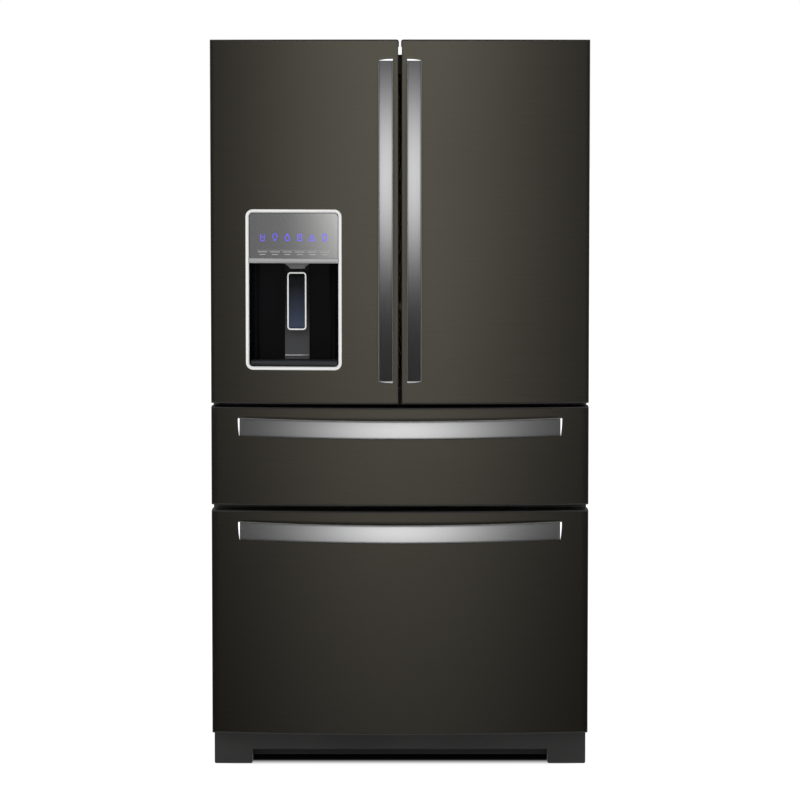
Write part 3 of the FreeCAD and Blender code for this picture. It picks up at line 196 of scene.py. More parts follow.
# ---------------------------------------------------------------- materials
class Shader:
    """A material being put together: its Principled shader, and short names for common nodes."""

    def __init__(self, name, settings):
        self.material = bpy.data.materials.new(name)
        self.material.use_nodes = True
        self.tree = self.material.node_tree
        self.surface = self.tree.nodes["Principled BSDF"]
        self.place = self.node("ShaderNodeTexCoord").outputs["Object"]
        for socket, value in settings.items():
            self.feed(self.surface.inputs[socket], value)

    def node(self, kind, inputs=None, **options):
        made = self.tree.nodes.new(kind)
        for name, value in options.items():
            setattr(made, name, value)
        for socket, value in (inputs or {}).items():
            self.feed(made.inputs[socket], value)
        return made

    def feed(self, socket, value):
        if isinstance(value, bpy.types.NodeSocket):
            self.tree.links.new(value, socket)
        else:
            socket.default_value = value

    def noise(self, stretch, detail=2.0, rough=0.5):
        """Noise whose cells per metre are given along X, Y and Z."""
        mapped = self.node("ShaderNodeMapping", {"Vector": self.place, "Scale": stretch})
        inputs = {"Vector": mapped.outputs[0], "Scale": 1.0, "Detail": detail, "Roughness": rough}
        return self.node("ShaderNodeTexNoise", inputs).outputs["Fac"]

    def cells(self, scale, feature="F1", output="Distance"):
        inputs = {"Vector": self.place, "Scale": scale}
        return self.node("ShaderNodeTexVoronoi", inputs, feature=feature).outputs[output]

    def span(self, value, low, high, start=0.0, stop=1.0):
        inputs = {"Value": value, "From Min": start, "From Max": stop, "To Min": low, "To Max": high}
        return self.node("ShaderNodeMapRange", inputs).outputs["Result"]

    def math(self, operation, *values):
        made = self.node("ShaderNodeMath", operation=operation)
        for socket, value in zip(made.inputs, values):
            self.feed(socket, value)
        return made.outputs[0]

    def blend(self, share, first, second):
        mixed = self.node("ShaderNodeMix", data_type="RGBA")
        for name, value in (("Factor_Float", share), ("A_Color", first), ("B_Color", second)):
            socket = next(s for s in mixed.inputs if s.identifier == name)
            self.feed(socket, value)
        return next(s for s in mixed.outputs if s.identifier == "Result_Color")

    def color(self, value):
        self.feed(self.surface.inputs["Base Color"], value)

    def rough(self, value):
        self.feed(self.surface.inputs["Roughness"], value)

    def bump(self, height, strength, depth):
        inputs = {"Height": height, "Strength": strength, "Distance": depth}
        self.feed(self.surface.inputs["Normal"], self.node("ShaderNodeBump", inputs).outputs[0])

    def axis(self, name):
        return self.node("ShaderNodeSeparateXYZ", {"Vector": self.place}).outputs[name]


def rgb(red, green, blue):
    return (red, green, blue, 1.0)


def brushed_steel(name, dark, light, rough, stretch, long_stretch, across, anisotropy, painted_shade_floor_share=1.0):
    """Steel with fine grain along one direction. across points over the grain, the way highlights spread.

    The last argument is how bright the metal is painted near the floor, as a share of its light tone: painted
    shade that darkens it towards the floor.
    """
    s = Shader(name, {"Metallic": 1.0, "Anisotropic": anisotropy})
    fine = s.noise(stretch, 3.0, 0.6)
    streak = s.noise(long_stretch, 2.0, 0.5)
    cloud = s.noise((3.0, 3.0, 2.2), 2.0)
    grain = s.math("ADD", s.math("MULTIPLY", fine, 0.6), s.math("MULTIPLY", streak, 0.4))
    tone = s.blend(s.span(grain, 0.0, 1.0, 0.32, 0.68), dark, light)
    if painted_shade_floor_share < 1.0:
        # painted shade: the colour darkens towards the floor
        painted_shade_low = s.span(s.axis("Z"), 1.0, 0.0, 0.1, 0.9)
        tone = s.blend(painted_shade_low, tone, s.blend(painted_shade_floor_share, rgb(0.0, 0.0, 0.0), light))
    s.color(tone)
    smear = s.math("ADD", grain, s.math("MULTIPLY", cloud, 0.5))
    s.rough(s.span(smear, rough[0], rough[1], 0.45, 1.05))
    s.bump(fine, 0.1, 0.0001)
    spread_way = s.node("ShaderNodeCombineXYZ", dict(zip("XYZ", across)))
    turn = {"vector_type": "VECTOR", "convert_from": "OBJECT", "convert_to": "WORLD"}
    turned = s.node("ShaderNodeVectorTransform", {"Vector": spread_way.outputs[0]}, **turn)
    s.feed(s.surface.inputs["Tangent"], turned.outputs[0])
    return s.material


def steels():
    """The fronts' black steel, painted darker towards the floor as painted shade, and the handles' steel as a
    lit and a shaded copy of one steel: the level handles' copy is painted much lighter than the upright
    handles', as painted light.
    """
    aside, up = (1.0, 0.0, 0.0), (0.0, 0.0, 1.0)
    dark, light = rgb(0.127, 0.117, 0.0945), rgb(0.151, 0.1395, 0.114)
    # painted shade: the black steel's last argument makes it darker towards the floor
    black = brushed_steel(
        "black_stainless", dark, light, (0.26, 0.32), (20, 20, 1500), (5, 5, 420), up, 0.55, 0.66
    )
    dark, light = rgb(0.46, 0.46, 0.463), rgb(0.53, 0.53, 0.534)
    upright = brushed_steel(
        "handle_steel_upright", dark, light, (0.19, 0.25), (1500, 300, 12), (300, 100, 3), aside, 0.7
    )
    # painted light: the level handles' steel is a lighter copy of the upright handles' steel
    dark, light = rgb(0.79, 0.79, 0.792), rgb(0.84, 0.84, 0.846)
    level = brushed_steel(
        "handle_steel_level", dark, light, (0.25, 0.275), (12, 300, 1500), (3, 100, 300), up, 0.5
    )
    return black, upright, level


def chrome():
    """Polished chrome with a faint haze."""
    s = Shader("polished_chrome", {"Metallic": 1.0})
    haze = s.noise((26, 26, 26), 3.0)
    s.color(s.blend(haze, rgb(0.76, 0.77, 0.78), rgb(0.88, 0.88, 0.89)))
    s.rough(s.span(haze, 0.07, 0.16, 0.3, 0.7))
    s.bump(s.noise((420, 420, 420), 2.0), 0.03, 0.00005)
    return s.material


def moulded_plastic(name, first, second, rough, grain=900.0, bump=0.05, settings=None):
    """Plastic with a fine mould texture, faint colour drift, and dust or polish in its roughness."""
    s = Shader(name, settings or {})
    drift = s.noise((5, 5, 5), 3.0)
    mould = s.noise((grain, grain, grain), 2.0, 0.6)
    s.color(s.blend(s.span(drift, 0.0, 1.0, 0.3, 0.7), first, second))
    s.rough(s.span(s.math("ADD", drift, s.math("MULTIPLY", mould, 0.4)), rough[0], rough[1], 0.4, 1.0))
    s.bump(mould, bump, 0.0002)
    return s.material


def textured_paint():
    """Dark cabinet paint with a pebbled texture that rubs lighter on its high spots."""
    s = Shader("cabinet_paint", {"Metallic": 0.0})
    pebble = s.cells(620.0)
    drift = s.noise((4, 4, 4), 3.0)
    tone = s.blend(s.span(drift, 0.0, 1.0, 0.3, 0.7), rgb(0.03, 0.0295, 0.0285), rgb(0.042, 0.041, 0.04))
    high = s.span(pebble, 0.22, 0.0, 0.0, 0.35)
    s.color(s.blend(high, tone, rgb(0.085, 0.083, 0.08)))
    s.rough(s.span(pebble, 0.42, 0.6, 0.0, 0.8))
    s.bump(pebble, 0.35, 0.0004)
    return s.material


def galvanised_steel():
    """Zinc-coated sheet: a patchwork of spangles, each a slightly different grey and gloss."""
    s = Shader("galvanised_steel", {"Metallic": 0.9})
    spangle = s.node("ShaderNodeTexVoronoi", {"Vector": s.place, "Scale": 85.0}).outputs["Color"]
    tone = s.node("ShaderNodeSeparateColor", {"Color": spangle}).outputs[0]
    s.color(s.blend(tone, rgb(0.42, 0.435, 0.445), rgb(0.6, 0.61, 0.615)))
    s.rough(s.span(tone, 0.34, 0.52))
    s.bump(s.noise((300, 300, 300), 3.0), 0.08, 0.0002)
    return s.material


def drawn_metal():
    """Tube and fin metal with grain along its length and patches of dust."""
    s = Shader("coil_metal", {"Metallic": 0.85})
    grain = s.noise((900, 60, 900), 2.0)
    dust = s.noise((22, 22, 22), 4.0)
    s.color(s.blend(s.span(dust, 0.0, 1.0, 0.35, 0.75), rgb(0.6, 0.6, 0.6), rgb(0.4, 0.39, 0.37)))
    s.rough(s.span(grain, 0.28, 0.5))
    s.bump(grain, 0.08, 0.0002)
    return s.material


def gloss_enamel():
    """Sprayed enamel with orange peel, duller where dust has settled."""
    s = Shader("compressor_enamel", {"Coat Weight": 0.4, "Coat Roughness": 0.12})
    peel = s.noise((240, 240, 240), 2.0)
    dust = s.noise((18, 18, 18), 4.0)
    s.color(s.blend(s.span(dust, 0.0, 1.0, 0.45, 0.8), rgb(0.012, 0.012, 0.013), rgb(0.05, 0.048, 0.045)))
    s.rough(s.span(dust, 0.22, 0.5, 0.3, 0.8))
    s.bump(peel, 0.12, 0.0004)
    return s.material


def clear_plastic(name, tint, rough):
    """See-through moulding: clear, with faint flow lines and fine scratches in its gloss."""
    s = Shader(name, {"Transmission Weight": 0.92, "IOR": 1.49})
    flow = s.noise((9, 9, 40), 3.0)
    s.color(s.blend(s.span(flow, 0.0, 1.0, 0.3, 0.7), tint, rgb(0.97, 0.98, 0.985)))
    s.rough(s.span(s.noise((700, 700, 90), 3.0), rough, rough + 0.1, 0.35, 0.75))
    s.bump(flow, 0.05, 0.0003)
    return s.material


def two_tone_panel(name, z_low, z_high, y_dark):
    """White moulding, dark where it lies in front of y_dark and beyond its two heights."""
    s = Shader(name, {})
    y, z = s.axis("Y"), s.axis("Z")
    inside = s.math("LESS_THAN", y, y_dark)
    ends = s.math("MAXIMUM", s.math("LESS_THAN", z, z_low), s.math("GREATER_THAN", z, z_high))
    cap = s.math("MAXIMUM", inside, ends)
    drift = s.noise((5, 5, 5), 3.0)
    mould = s.noise((700, 700, 700), 2.0)
    white = s.blend(drift, rgb(0.63, 0.645, 0.65), rgb(0.71, 0.72, 0.72))
    black = s.blend(mould, rgb(0.017, 0.0165, 0.0155), rgb(0.028, 0.027, 0.025))
    s.color(s.blend(cap, white, black))
    s.rough(s.math("ADD", s.span(drift, 0.2, 0.3, 0.3, 0.7), s.math("MULTIPLY", cap, 0.22)))
    s.bump(mould, 0.05, 0.0002)
    return s.material


def panel_with_painted_highlight():
    """The control panel's metallic film, with a painted highlight that makes it lighter towards its upper
    corner beside the gap.
    """
    s = Shader("panel_grey", {"Metallic": 0.8})
    # painted highlight: the film lightens towards its upper corner beside the gap
    across, up = s.span(s.axis("X"), 0.0, 1.0, -0.29, -0.15), s.span(s.axis("Z"), 0.55, 1.0, 1.23, 1.34)
    corner = s.math("MULTIPLY", s.math("POWER", across, 1.6), up)
    flake = s.noise((1400, 1400, 1400), 2.0)
    plain = s.blend(flake, rgb(0.2, 0.2, 0.2), rgb(0.26, 0.26, 0.262))
    s.color(s.blend(corner, plain, rgb(0.62, 0.62, 0.61)))
    s.rough(s.span(flake, 0.2, 0.3, 0.3, 0.7))
    s.bump(flake, 0.03, 0.0001)
    return s.material


def black_with_painted_shading(name, low, high, z_low, z_high, settings, rough):
    """Dark moulded plastic whose colour runs from low at one height to high at another: painted shade and
    light.
    """
    s = Shader(name, settings)
    mould = s.noise((900, 900, 900), 2.0)
    up = s.span(s.axis("Z"), 0.0, 1.0, z_low, z_high)
    s.color(s.blend(s.math("ADD", up, s.span(mould, -0.06, 0.06)), low, high))
    s.rough(s.span(mould, rough[0], rough[1], 0.3, 0.7))
    s.bump(mould, 0.03, 0.0001)
    return s.material


def foam_material():
    """Cut rigid foam, full of pores."""
    s = Shader("rigid_foam", {"Roughness": 0.9})
    pores = s.cells(420.0)
    s.color(s.blend(s.span(pores, 0.0, 1.0, 0.0, 0.7), rgb(0.5, 0.4, 0.2), rgb(0.82, 0.73, 0.46)))
    s.bump(pores, 0.6, 0.0012)
    return s.material


def seal_rubber():
    """Soft dark grey vinyl with fine ribs that follow the opening; partly its own dark grey and partly
    painted shade, nearly black so the gap between the doors reads dark.
    """
    s = Shader("seal_rubber", {"Sheen Weight": 0.15})
    drift = s.noise((12, 12, 12), 3.0)
    rib = s.noise((30, 900, 30), 1.0)
    # partly the vinyl's own colour, partly painted shade: nearly black for the shaded gap between the doors
    s.color(s.blend(drift, rgb(0.014, 0.014, 0.015), rgb(0.028, 0.028, 0.029)))
    s.rough(s.span(drift, 0.5, 0.68, 0.3, 0.7))
    s.bump(rib, 0.25, 0.0005)
    return s.material


def shelf_glass_material():
    """Toughened glass, with the green that shows where light runs a long way through it."""
    s = Shader("shelf_glass", {"Transmission Weight": 1.0, "IOR": 1.52})
    streak = s.noise((2.5, 14, 14), 2.0)
    s.color(s.blend(s.span(streak, 0.0, 1.0, 0.3, 0.7), rgb(0.83, 0.94, 0.91), rgb(0.92, 0.98, 0.965)))
    s.rough(s.span(s.noise((60, 60, 60), 4.0), 0.015, 0.06, 0.35, 0.8))
    s.bump(streak, 0.02, 0.0002)
    return s.material


def lamp_material(name, tone, strength, rim):
    """A lit symbol or lamp lens, a little dimmer where its noise is low."""
    s = Shader(name, {"Roughness": 0.35, "Emission Strength": strength})
    mottle = s.noise((260, 260, 260), 2.0)
    s.color(s.blend(mottle, rim, tone))
    s.feed(s.surface.inputs["Emission Color"], s.blend(s.span(mottle, 0.0, 1.0, 0.1, 0.6), rim, tone))
    return s.material


steel_black, steel_upright, steel_level_painted_lighter = steels()
bright = chrome()
white_plastic = moulded_plastic("white_liner", rgb(0.63, 0.645, 0.65), rgb(0.71, 0.72, 0.72), (0.24, 0.36))
trim_plastic = moulded_plastic("shelf_trim", rgb(0.6, 0.61, 0.62), rgb(0.7, 0.71, 0.72), (0.22, 0.34))
dark_plastic = moulded_plastic(
    "dark_plastic", rgb(0.017, 0.0168, 0.0162), rgb(0.027, 0.0265, 0.0255), (0.42, 0.58), 1100.0, 0.12
)
gloss_black = moulded_plastic(
    "gloss_black",
    rgb(0.0045, 0.0045, 0.005),
    rgb(0.009, 0.009, 0.0105),
    (0.1, 0.24),
    500.0,
    0.02,
    {"Coat Weight": 0.35, "Coat Roughness": 0.06},
)
panel_grey = panel_with_painted_highlight()
clear_bin = clear_plastic("clear_bin", rgb(0.9, 0.93, 0.94), 0.03)
frosted_tub = clear_plastic("frosted_tub", rgb(0.86, 0.89, 0.9), 0.18)
cabinet_paint = textured_paint()
zinc = galvanised_steel()
coil_metal = drawn_metal()
enamel = gloss_enamel()
foam = foam_material()
rubber = seal_rubber()
glass = shelf_glass_material()
pearl_chrome = moulded_plastic(
    "pearl_chrome",
    rgb(0.86, 0.86, 0.85),
    rgb(0.93, 0.93, 0.92),
    (0.28, 0.36),
    1300.0,
    0.02,
    {"Metallic": 0.3},
)
satin_silver = moulded_plastic(
    "satin_silver",
    rgb(0.46, 0.46, 0.465),
    rgb(0.56, 0.56, 0.565),
    (0.26, 0.36),
    1400.0,
    0.03,
    {"Metallic": 0.6},
)
icon_blue = lamp_material("icon_blue", rgb(0.14, 0.1, 0.92), 0.6, rgb(0.1, 0.07, 0.75))
label_pale = lamp_material("label_pale", rgb(0.4, 0.4, 0.41), 0.05, rgb(0.3, 0.3, 0.31))
# painted light: a blue glow painted on the tongue, lighter towards its foot and dark towards its top
paddle_insert = black_with_painted_shading(
    "paddle_insert",
    rgb(0.03, 0.04, 0.066),
    rgb(0.004, 0.0045, 0.005),
    1.07,
    1.165,
    {"Specular IOR Level": 0.12},
    (0.2, 0.3),
)
# painted shade: the column's face is painted dark at its top, in the recess's shade, and lighter grey towards
# its foot
column_grey = black_with_painted_shading(
    "column_grey",
    rgb(0.071, 0.072, 0.075),
    rgb(0.008, 0.008, 0.0085),
    0.99,
    1.13,
    {"Specular IOR Level": 0.15},
    (0.3, 0.42),
)
funnel_grey = moulded_plastic(
    "funnel_grey", rgb(0.1, 0.1, 0.1), rgb(0.14, 0.14, 0.14), (0.25, 0.35), 900.0, 0.03
)
# painted shade: the dispenser housing is drawn nearly black and almost unreflective, standing in for the
# shade deep in the recess
recess_painted_shade_black = moulded_plastic(
    "recess_painted_shade_black",
    rgb(0.002, 0.0021, 0.0026),
    rgb(0.0036, 0.0038, 0.0046),
    (0.22, 0.34),
    500.0,
    0.02,
    {"Specular IOR Level": 0.06},
)
tray_black = moulded_plastic(
    "tray_black",
    rgb(0.02, 0.021, 0.0225),
    rgb(0.031, 0.0325, 0.0345),
    (0.25, 0.4),
    700.0,
    0.03,
    {"Specular IOR Level": 0.3},
)
# painted shade: the base frame is drawn near black, standing in for the shade under the appliance
base_painted_shade_black = moulded_plastic("base_painted_shade_black", rgb(0.006, 0.006, 0.006), rgb(0.012, 0.012, 0.012), (0.5, 0.65))


# ---------------------------------------------------------------- fronts
# a door's upper outer corner is notched behind for its hinge
notch_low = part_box("hinge_covers")[0].z - 0.002
y_notch = y_panel - 0.043
notch_reach = 0.039


def corner_points(x_side, inward, steps=6):
    """A front's rounded vertical edge in plan, from its side to the bow."""
    radius = edge_round["outer" if abs(x_side) > half / 2 else "gap"]
    cx = x_side + inward * radius
    cy = bow_centre - math.sqrt((bow_radius - radius) ** 2 - cx * cx)
    start = -math.pi if inward > 0 else 0.0
    end = math.atan2(cy - bow_centre, cx)
    turns = spread(start, end, steps)
    return [(cx + radius * math.cos(t), cy + radius * math.sin(t)) for t in turns]


def plan_of_front(x0, x1, lines=()):
    """A folded skin in plan: back edge, side, rounded edge, bow, rounded edge, side, back edge."""
    left, right = corner_points(x0, 1), corner_points(x1, -1)
    between = sorted(spread(left[-1][0], right[-1][0], 56)[1:-1] + list(lines))
    bow = [(x, front_y(x)) for x in between]
    sides = [y_panel, y_panel - 0.02, y_notch]
    return [(x0, y) for y in sides] + left + bow + right[::-1] + [(x1, y) for y in reversed(sides)]


def front_sheet(name, node, body, hole=False, notched=0):
    """A folded, brushed steel front that stands for its CAD node.

    hole cuts the dispenser's opening. notched is the side, -1 or 1, whose upper corner clears the hinge.
    """
    low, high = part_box(node)
    slack = 0.001
    hole_ends = (hole_x[0] - slack, hole_x[1] + slack, hole_z[0] - slack, hole_z[1] + slack)
    plan = plan_of_front(low.x, high.x, hole_ends[:2] if hole else ())
    rows = sorted(spread(low.z, high.z, 24) + (list(hole_ends[2:]) if hole else []))
    if notched:
        rows = sorted(rows + [notch_low])

    def inside(c, r):
        x = (plan[c][0] + plan[c + 1][0]) / 2
        y = (plan[c][1] + plan[c + 1][1]) / 2
        z = (rows[r] + rows[r + 1]) / 2
        in_hole = hole and hole_ends[0] < x < hole_ends[1] and hole_ends[2] < z < hole_ends[3]
        in_notch = notched and x * notched > half - notch_reach and y > y_notch and z > notch_low
        return not (in_hole or in_notch)

    verts, faces = grid(len(plan), len(rows), lambda c, r: (plan[c][0], plan[c][1], rows[r]), inside)
    piece = add_piece(name, verts, faces, steel_black, body, "black_stainless")
    wall = piece.modifiers.new("sheet", "SOLIDIFY")
    wall.thickness = sheet
    wall.offset = -1.0
    soften(piece, 0.0004, 2, 60.0)
    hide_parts(node)


front_sheet("left_door_front", "left_door_skin", "left_door", hole=True, notched=-1)
front_sheet("right_door_front", "right_door_skin", "right_door", notched=1)
front_sheet("mid_drawer_front", "mid_drawer_skin", "mid_drawer")
front_sheet("freezer_drawer_front", "freezer_drawer_skin", "freezer_drawer")


# ---------------------------------------------------------------- handles
cap_length = 0.005  # of a handle's polished end
cap_inset = 0.0006  # how far its edges lie inside the bar's
cap_tuck = 0.0002  # how far it stands off the bar's end
cap_tip = 0.0004  # how far its longer corner stops short of the handle's end
cap_slant = 0.0034  # how much further its shorter corner does
bar_thick = 0.014
face_depth = 0.034  # from a front's surface out to the handle's face, at the handle's ends
drawer_drop = 0.004
drawer_lean = 0.08  # a drawer bar's face leans back this much per unit of its height
drawer_wider = 0.0015  # a drawer bar is drawn this much wider than its node
drawer_longer = 0.003  # and this much longer at each end


def bar_section(width):
    """A handle bar's section: (across, back) pairs round a crowned face, rounded edges and a flat back."""
    side, face_round, back_round, crown = width / 2, 0.0015, 0.0022, 0.0005
    face = [(a, crown * (a / side) ** 2) for a in spread(-side + face_round, side - face_round, 10)]
    right = arc(side - face_round, face_round + crown, face_round, -90, 0, 5)[1:]
    back_right = arc(side - back_round, bar_thick - back_round, back_round, 0, 90, 4)
    back_left = arc(-side + back_round, bar_thick - back_round, back_round, 90, 180, 4)
    left = arc(-side + face_round, face_round + crown, face_round, 180, 270, 5)[:-1]
    return face + right + back_right + back_left + left


def handle_parts(node, body, place, width, faces_at, drop, steel, longer=0.0):
    """A bowed bar and its two polished ends. place(along, across, y) gives a point in the row frame."""
    low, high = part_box(node)
    reach = max(high - low) / 2 + longer
    bar_reach = reach - cap_length
    end_face, mid_face = faces_at
    section = bar_section(width)
    rings = []
    for s in spread(-bar_reach, bar_reach, 64):
        face = mid_face + sagitta(s, bar_reach, end_face - mid_face)
        fall = sagitta(s, bar_reach, drop) - drop if drop else 0.0
        rings.append([place(s, across + fall, face + back) for across, back in section])
    bar = add_piece(f"{node}_bar", *loft(rings), steel, body, "handle_metal")
    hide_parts(node)
    cap_root, cap_side, front = bar_reach + cap_tuck, width / 2 - cap_inset, end_face + 0.0003
    outline = [(cap_root, -cap_side)]
    for share in spread(1.0, 0.0, 8):
        outline.append((reach - cap_tip - cap_slant * share**2.2, cap_side * (1.0 - 2.0 * share)))
    outline.append((cap_root, cap_side))
    for end in (-1, 1):
        rings = []
        for level in spread(0.0, 1.0, 3):
            ring = []
            for along, across in outline:
                x, _, _ = place(end * along, across, 0)
                ring.append(place(end * along, across, front + (front_y(x) - front) * level))
            rings.append(ring)
        cap = add_piece(f"{node}_end_{'a' if end < 0 else 'b'}", *loft(rings), bright, body, "chrome_trim")
        soften(cap, 0.0007, 3, 40.0)


def door_handle(side):
    """An upright handle, on the left door for side -1 and on the right door for side 1."""
    name = "left" if side < 0 else "right"
    node = f"{name}_door_handle"
    low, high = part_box(node)
    x_mid, z_mid = (low.x + high.x) / 2, (low.z + high.z) / 2

    def place(along, across, y):
        return x_mid - side * across, y, z_mid + along

    faces = (y_crown - face_depth, low.y)
    handle_parts(node, f"{name}_door", place, high.x - low.x, faces, 0.0, steel_upright)


def drawer_handle(node, body):
    """A level handle that leans back towards its upper edge and sags towards its middle."""
    low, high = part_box(node)
    bar = high.z - low.z - drawer_drop
    width, z_mid = bar + drawer_wider, high.z - bar / 2

    def place(along, across, y):
        return along, y + drawer_lean * (across + width / 2), z_mid + across

    faces = (front_y(high.x) - face_depth, low.y)
    handle_parts(node, body, place, width, faces, drawer_drop, steel_level_painted_lighter, drawer_longer)


door_handle(-1)
door_handle(1)
drawer_handle("mid_drawer_handle", "mid_drawer")
drawer_handle("freezer_drawer_handle", "freezer_drawer")

# ---------------------------------------------------------------- dispenser
bezel_stations = rounded_outline(hole_x, hole_z, opening_round)
bezel_dome = [
    (bezel_face * (0.5 + 0.5 * math.cos(t)), bezel_proud * math.sin(t) ** 0.4)
    for t in map(math.radians, spread(6, 174, 10))
]
bezel_section = [(bezel_face, 0.0)] + bezel_dome + [
    (-0.0004, 0.0006),
    (-bezel_lip, -0.0004),
    (-bezel_lip, -0.0075),
    (0.0, -0.0075),
    (0.0, -0.0002),
]
bezel = add_piece(
    "dispenser_surround",
    *frame_loft(bezel_stations, bezel_section, front_y),
    pearl_chrome,
    "left_door",
    "chrome_trim",
)
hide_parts("dispenser_bezel")

panel_low, panel_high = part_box("dispenser_control_panel")
lip_height = 0.012
corner = opening_round - bezel_lip
panel_gap = 0.0013  # dark line between the panel's face and the bezel


def panel_top(x):
    """Height of the control panel's upper edge, which is rounded at both corners."""
    reach = (panel_high.x - panel_low.x) / 2 - panel_gap
    over = max(abs(x - (panel_low.x + panel_high.x) / 2) - reach + corner, 0.0)
    return panel_high.z - panel_gap - corner + math.sqrt(max(corner * corner - over * over, 0.0))


def control_panel():
    """The panel's bowed face, and the satin lip along its foot."""
    ends = [panel_low.x + panel_gap + corner * (1 - math.cos(math.radians(t))) for t in spread(0, 90, 8)]
    mirrored = [panel_low.x + panel_high.x - x for x in reversed(ends)]
    columns = ends + spread(ends[-1], mirrored[0], 24)[1:-1] + mirrored
    foot = panel_low.z + lip_height - 0.002

    def place(c, r):
        x = columns[c]
        return x, front_y(x, 0.0005), foot + (panel_top(x) - foot) * r / 8

    plate = add_piece(
        "control_panel_face", *grid(len(columns), 9, place), panel_grey, "left_door", "panel_grey"
    )
    wall = plate.modifiers.new("thickness", "SOLIDIFY")
    wall.thickness = 0.0045
    wall.offset = -1.0
    soften(plate, 0.0009, 3, 50.0)
    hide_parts("dispenser_control_panel")

    proud, lip_mid = 0.0025, panel_low.z + lip_height / 2
    front = [
        (lip_height / 2 * math.cos(t), proud * math.sin(t) ** 0.35)
        for t in map(math.radians, spread(4, 176, 12))
    ]
    section = [(lip_height / 2, -0.006)] + front + [(-lip_height / 2, -0.006)]
    rings = [
        [(x, front_y(x) - p, lip_mid + h) for h, p in section]
        for x in spread(panel_low.x - 0.0004, panel_high.x + 0.0004, 28)
    ]
    add_piece("control_panel_lip", *loft(rings), satin_silver, "left_door", "panel_grey")


control_panel()

# symbols, drawn as strokes in millimetres round each one's centre; none is a real mark
icon_z = 1.2805
icon_gap = 0.0297
icon_first = -0.3277
icon_unit = 0.00125
label_drop = 0.0345
rule_drop = 0.0305


def stroke(points, width, closed=False):
    """A flat line of even width through points, as quads in the XZ plane."""
    quads = []
    ends = points[1:] + points[:1] if closed else points[1:]
    for (ax, az), (bx, bz) in zip(points, ends):
        length = math.dist((ax, az), (bx, bz))
        ux, uz = (bx - ax) / length * width / 2, (bz - az) / length * width / 2
        quads.append([(ax - ux - uz, az - uz + ux), (bx + ux - uz, bz + uz + ux),
                      (bx + ux + uz, bz + uz - ux), (ax - ux + uz, az - uz - ux)])
    return quads


def icon_shapes():
    """The quads of each symbol: a cup, a lamp, a drop, a box, a triangle and a capsule."""
    drop = [(0, 7)] + arc(0, -2, 4.2, 35, -215, 12)
    bulb = arc(0, 2.2, 4.6, -50, 230, 14)
    return [
        stroke([(-4, 6), (-3, -6.5), (3, -6.5), (4, 6)], 1.0) + stroke([(-3.4, 1), (3.4, 1)], 0.9),
        stroke(bulb, 1.0)
        + stroke([(-2.2, -3.6), (2.2, -3.6)], 1.0)
        + stroke([(-1.6, -6.2), (1.6, -6.2)], 1.0),
        stroke(drop, 1.1, closed=True),
        stroke([(-3.8, -6), (3.8, -6), (3.8, 6), (-3.8, 6)], 1.0, closed=True)
        + stroke([(-1.5, -2), (1.5, 2)], 0.9),
        stroke([(-5, -6), (5, -6), (0, 5.5)], 1.0, closed=True) + stroke([(-2.5, -1.5), (2.5, -1.5)], 0.9),
        stroke(arc(0, 3.4, 3.2, 0, 180, 8) + arc(0, -3.4, 3.2, 180, 360, 8), 1.1, closed=True),
    ]


def raised(quads, x_mid, z_mid, unit=0.001, out=0.0011, thick=0.00045):
    """Verts and faces of quads that stand a hair's breadth off the bowed control panel."""
    verts, faces = [], []
    for quad in quads:
        at = len(verts)
        for level in (out, out - thick):
            for u, v in quad:
                x = x_mid + u * unit
                verts.append((x, front_y(x, level), z_mid + v * unit))
        faces.append((at, at + 1, at + 2, at + 3))
        faces.append((at + 7, at + 6, at + 5, at + 4))
        for k in range(4):
            n = (k + 1) % 4
            faces.append((at + k, at + 4 + k, at + 4 + n, at + n))
    return verts, faces


def add_marking(name, verts, faces, material):
    """A marking on the control panel, without add_piece's merging, because its strokes cross each other."""
    piece = new_object(name, verts, faces, material)
    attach(piece, "left_door")


flat_marking = {"out": 0.0008, "thick": 0.0003}
for number, quads in enumerate(icon_shapes()):
    x_mid = icon_first + icon_gap * number
    add_marking(f"panel_symbol_{number + 1}", *raised(quads, x_mid, icon_z, icon_unit), icon_blue)
    label = []
    for row, share in ((0, 1.0), (1, 0.6)):
        reach = 10.5 * share
        label += stroke([(-reach, -6.2 * row), (reach, -6.2 * row)], 1.7)
    shape = raised(label, x_mid, icon_z - label_drop, **flat_marking)
    add_marking(f"panel_label_{number + 1}", *shape, label_pale)
rule_steps = spread(icon_first * 1000 - 13.25, (icon_first + icon_gap * 5) * 1000 + 13.25, 16)
rule = [[(a, 0.25), (b, 0.25), (b, -0.25), (a, -0.25)] for a, b in zip(rule_steps, rule_steps[1:])]
add_marking("panel_rule", *raised(rule, 0.0, icon_z - rule_drop, **flat_marking), label_pale)

# paddle: a thin bright frame round a dark tongue
paddle_low, paddle_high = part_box("dispenser_paddle")


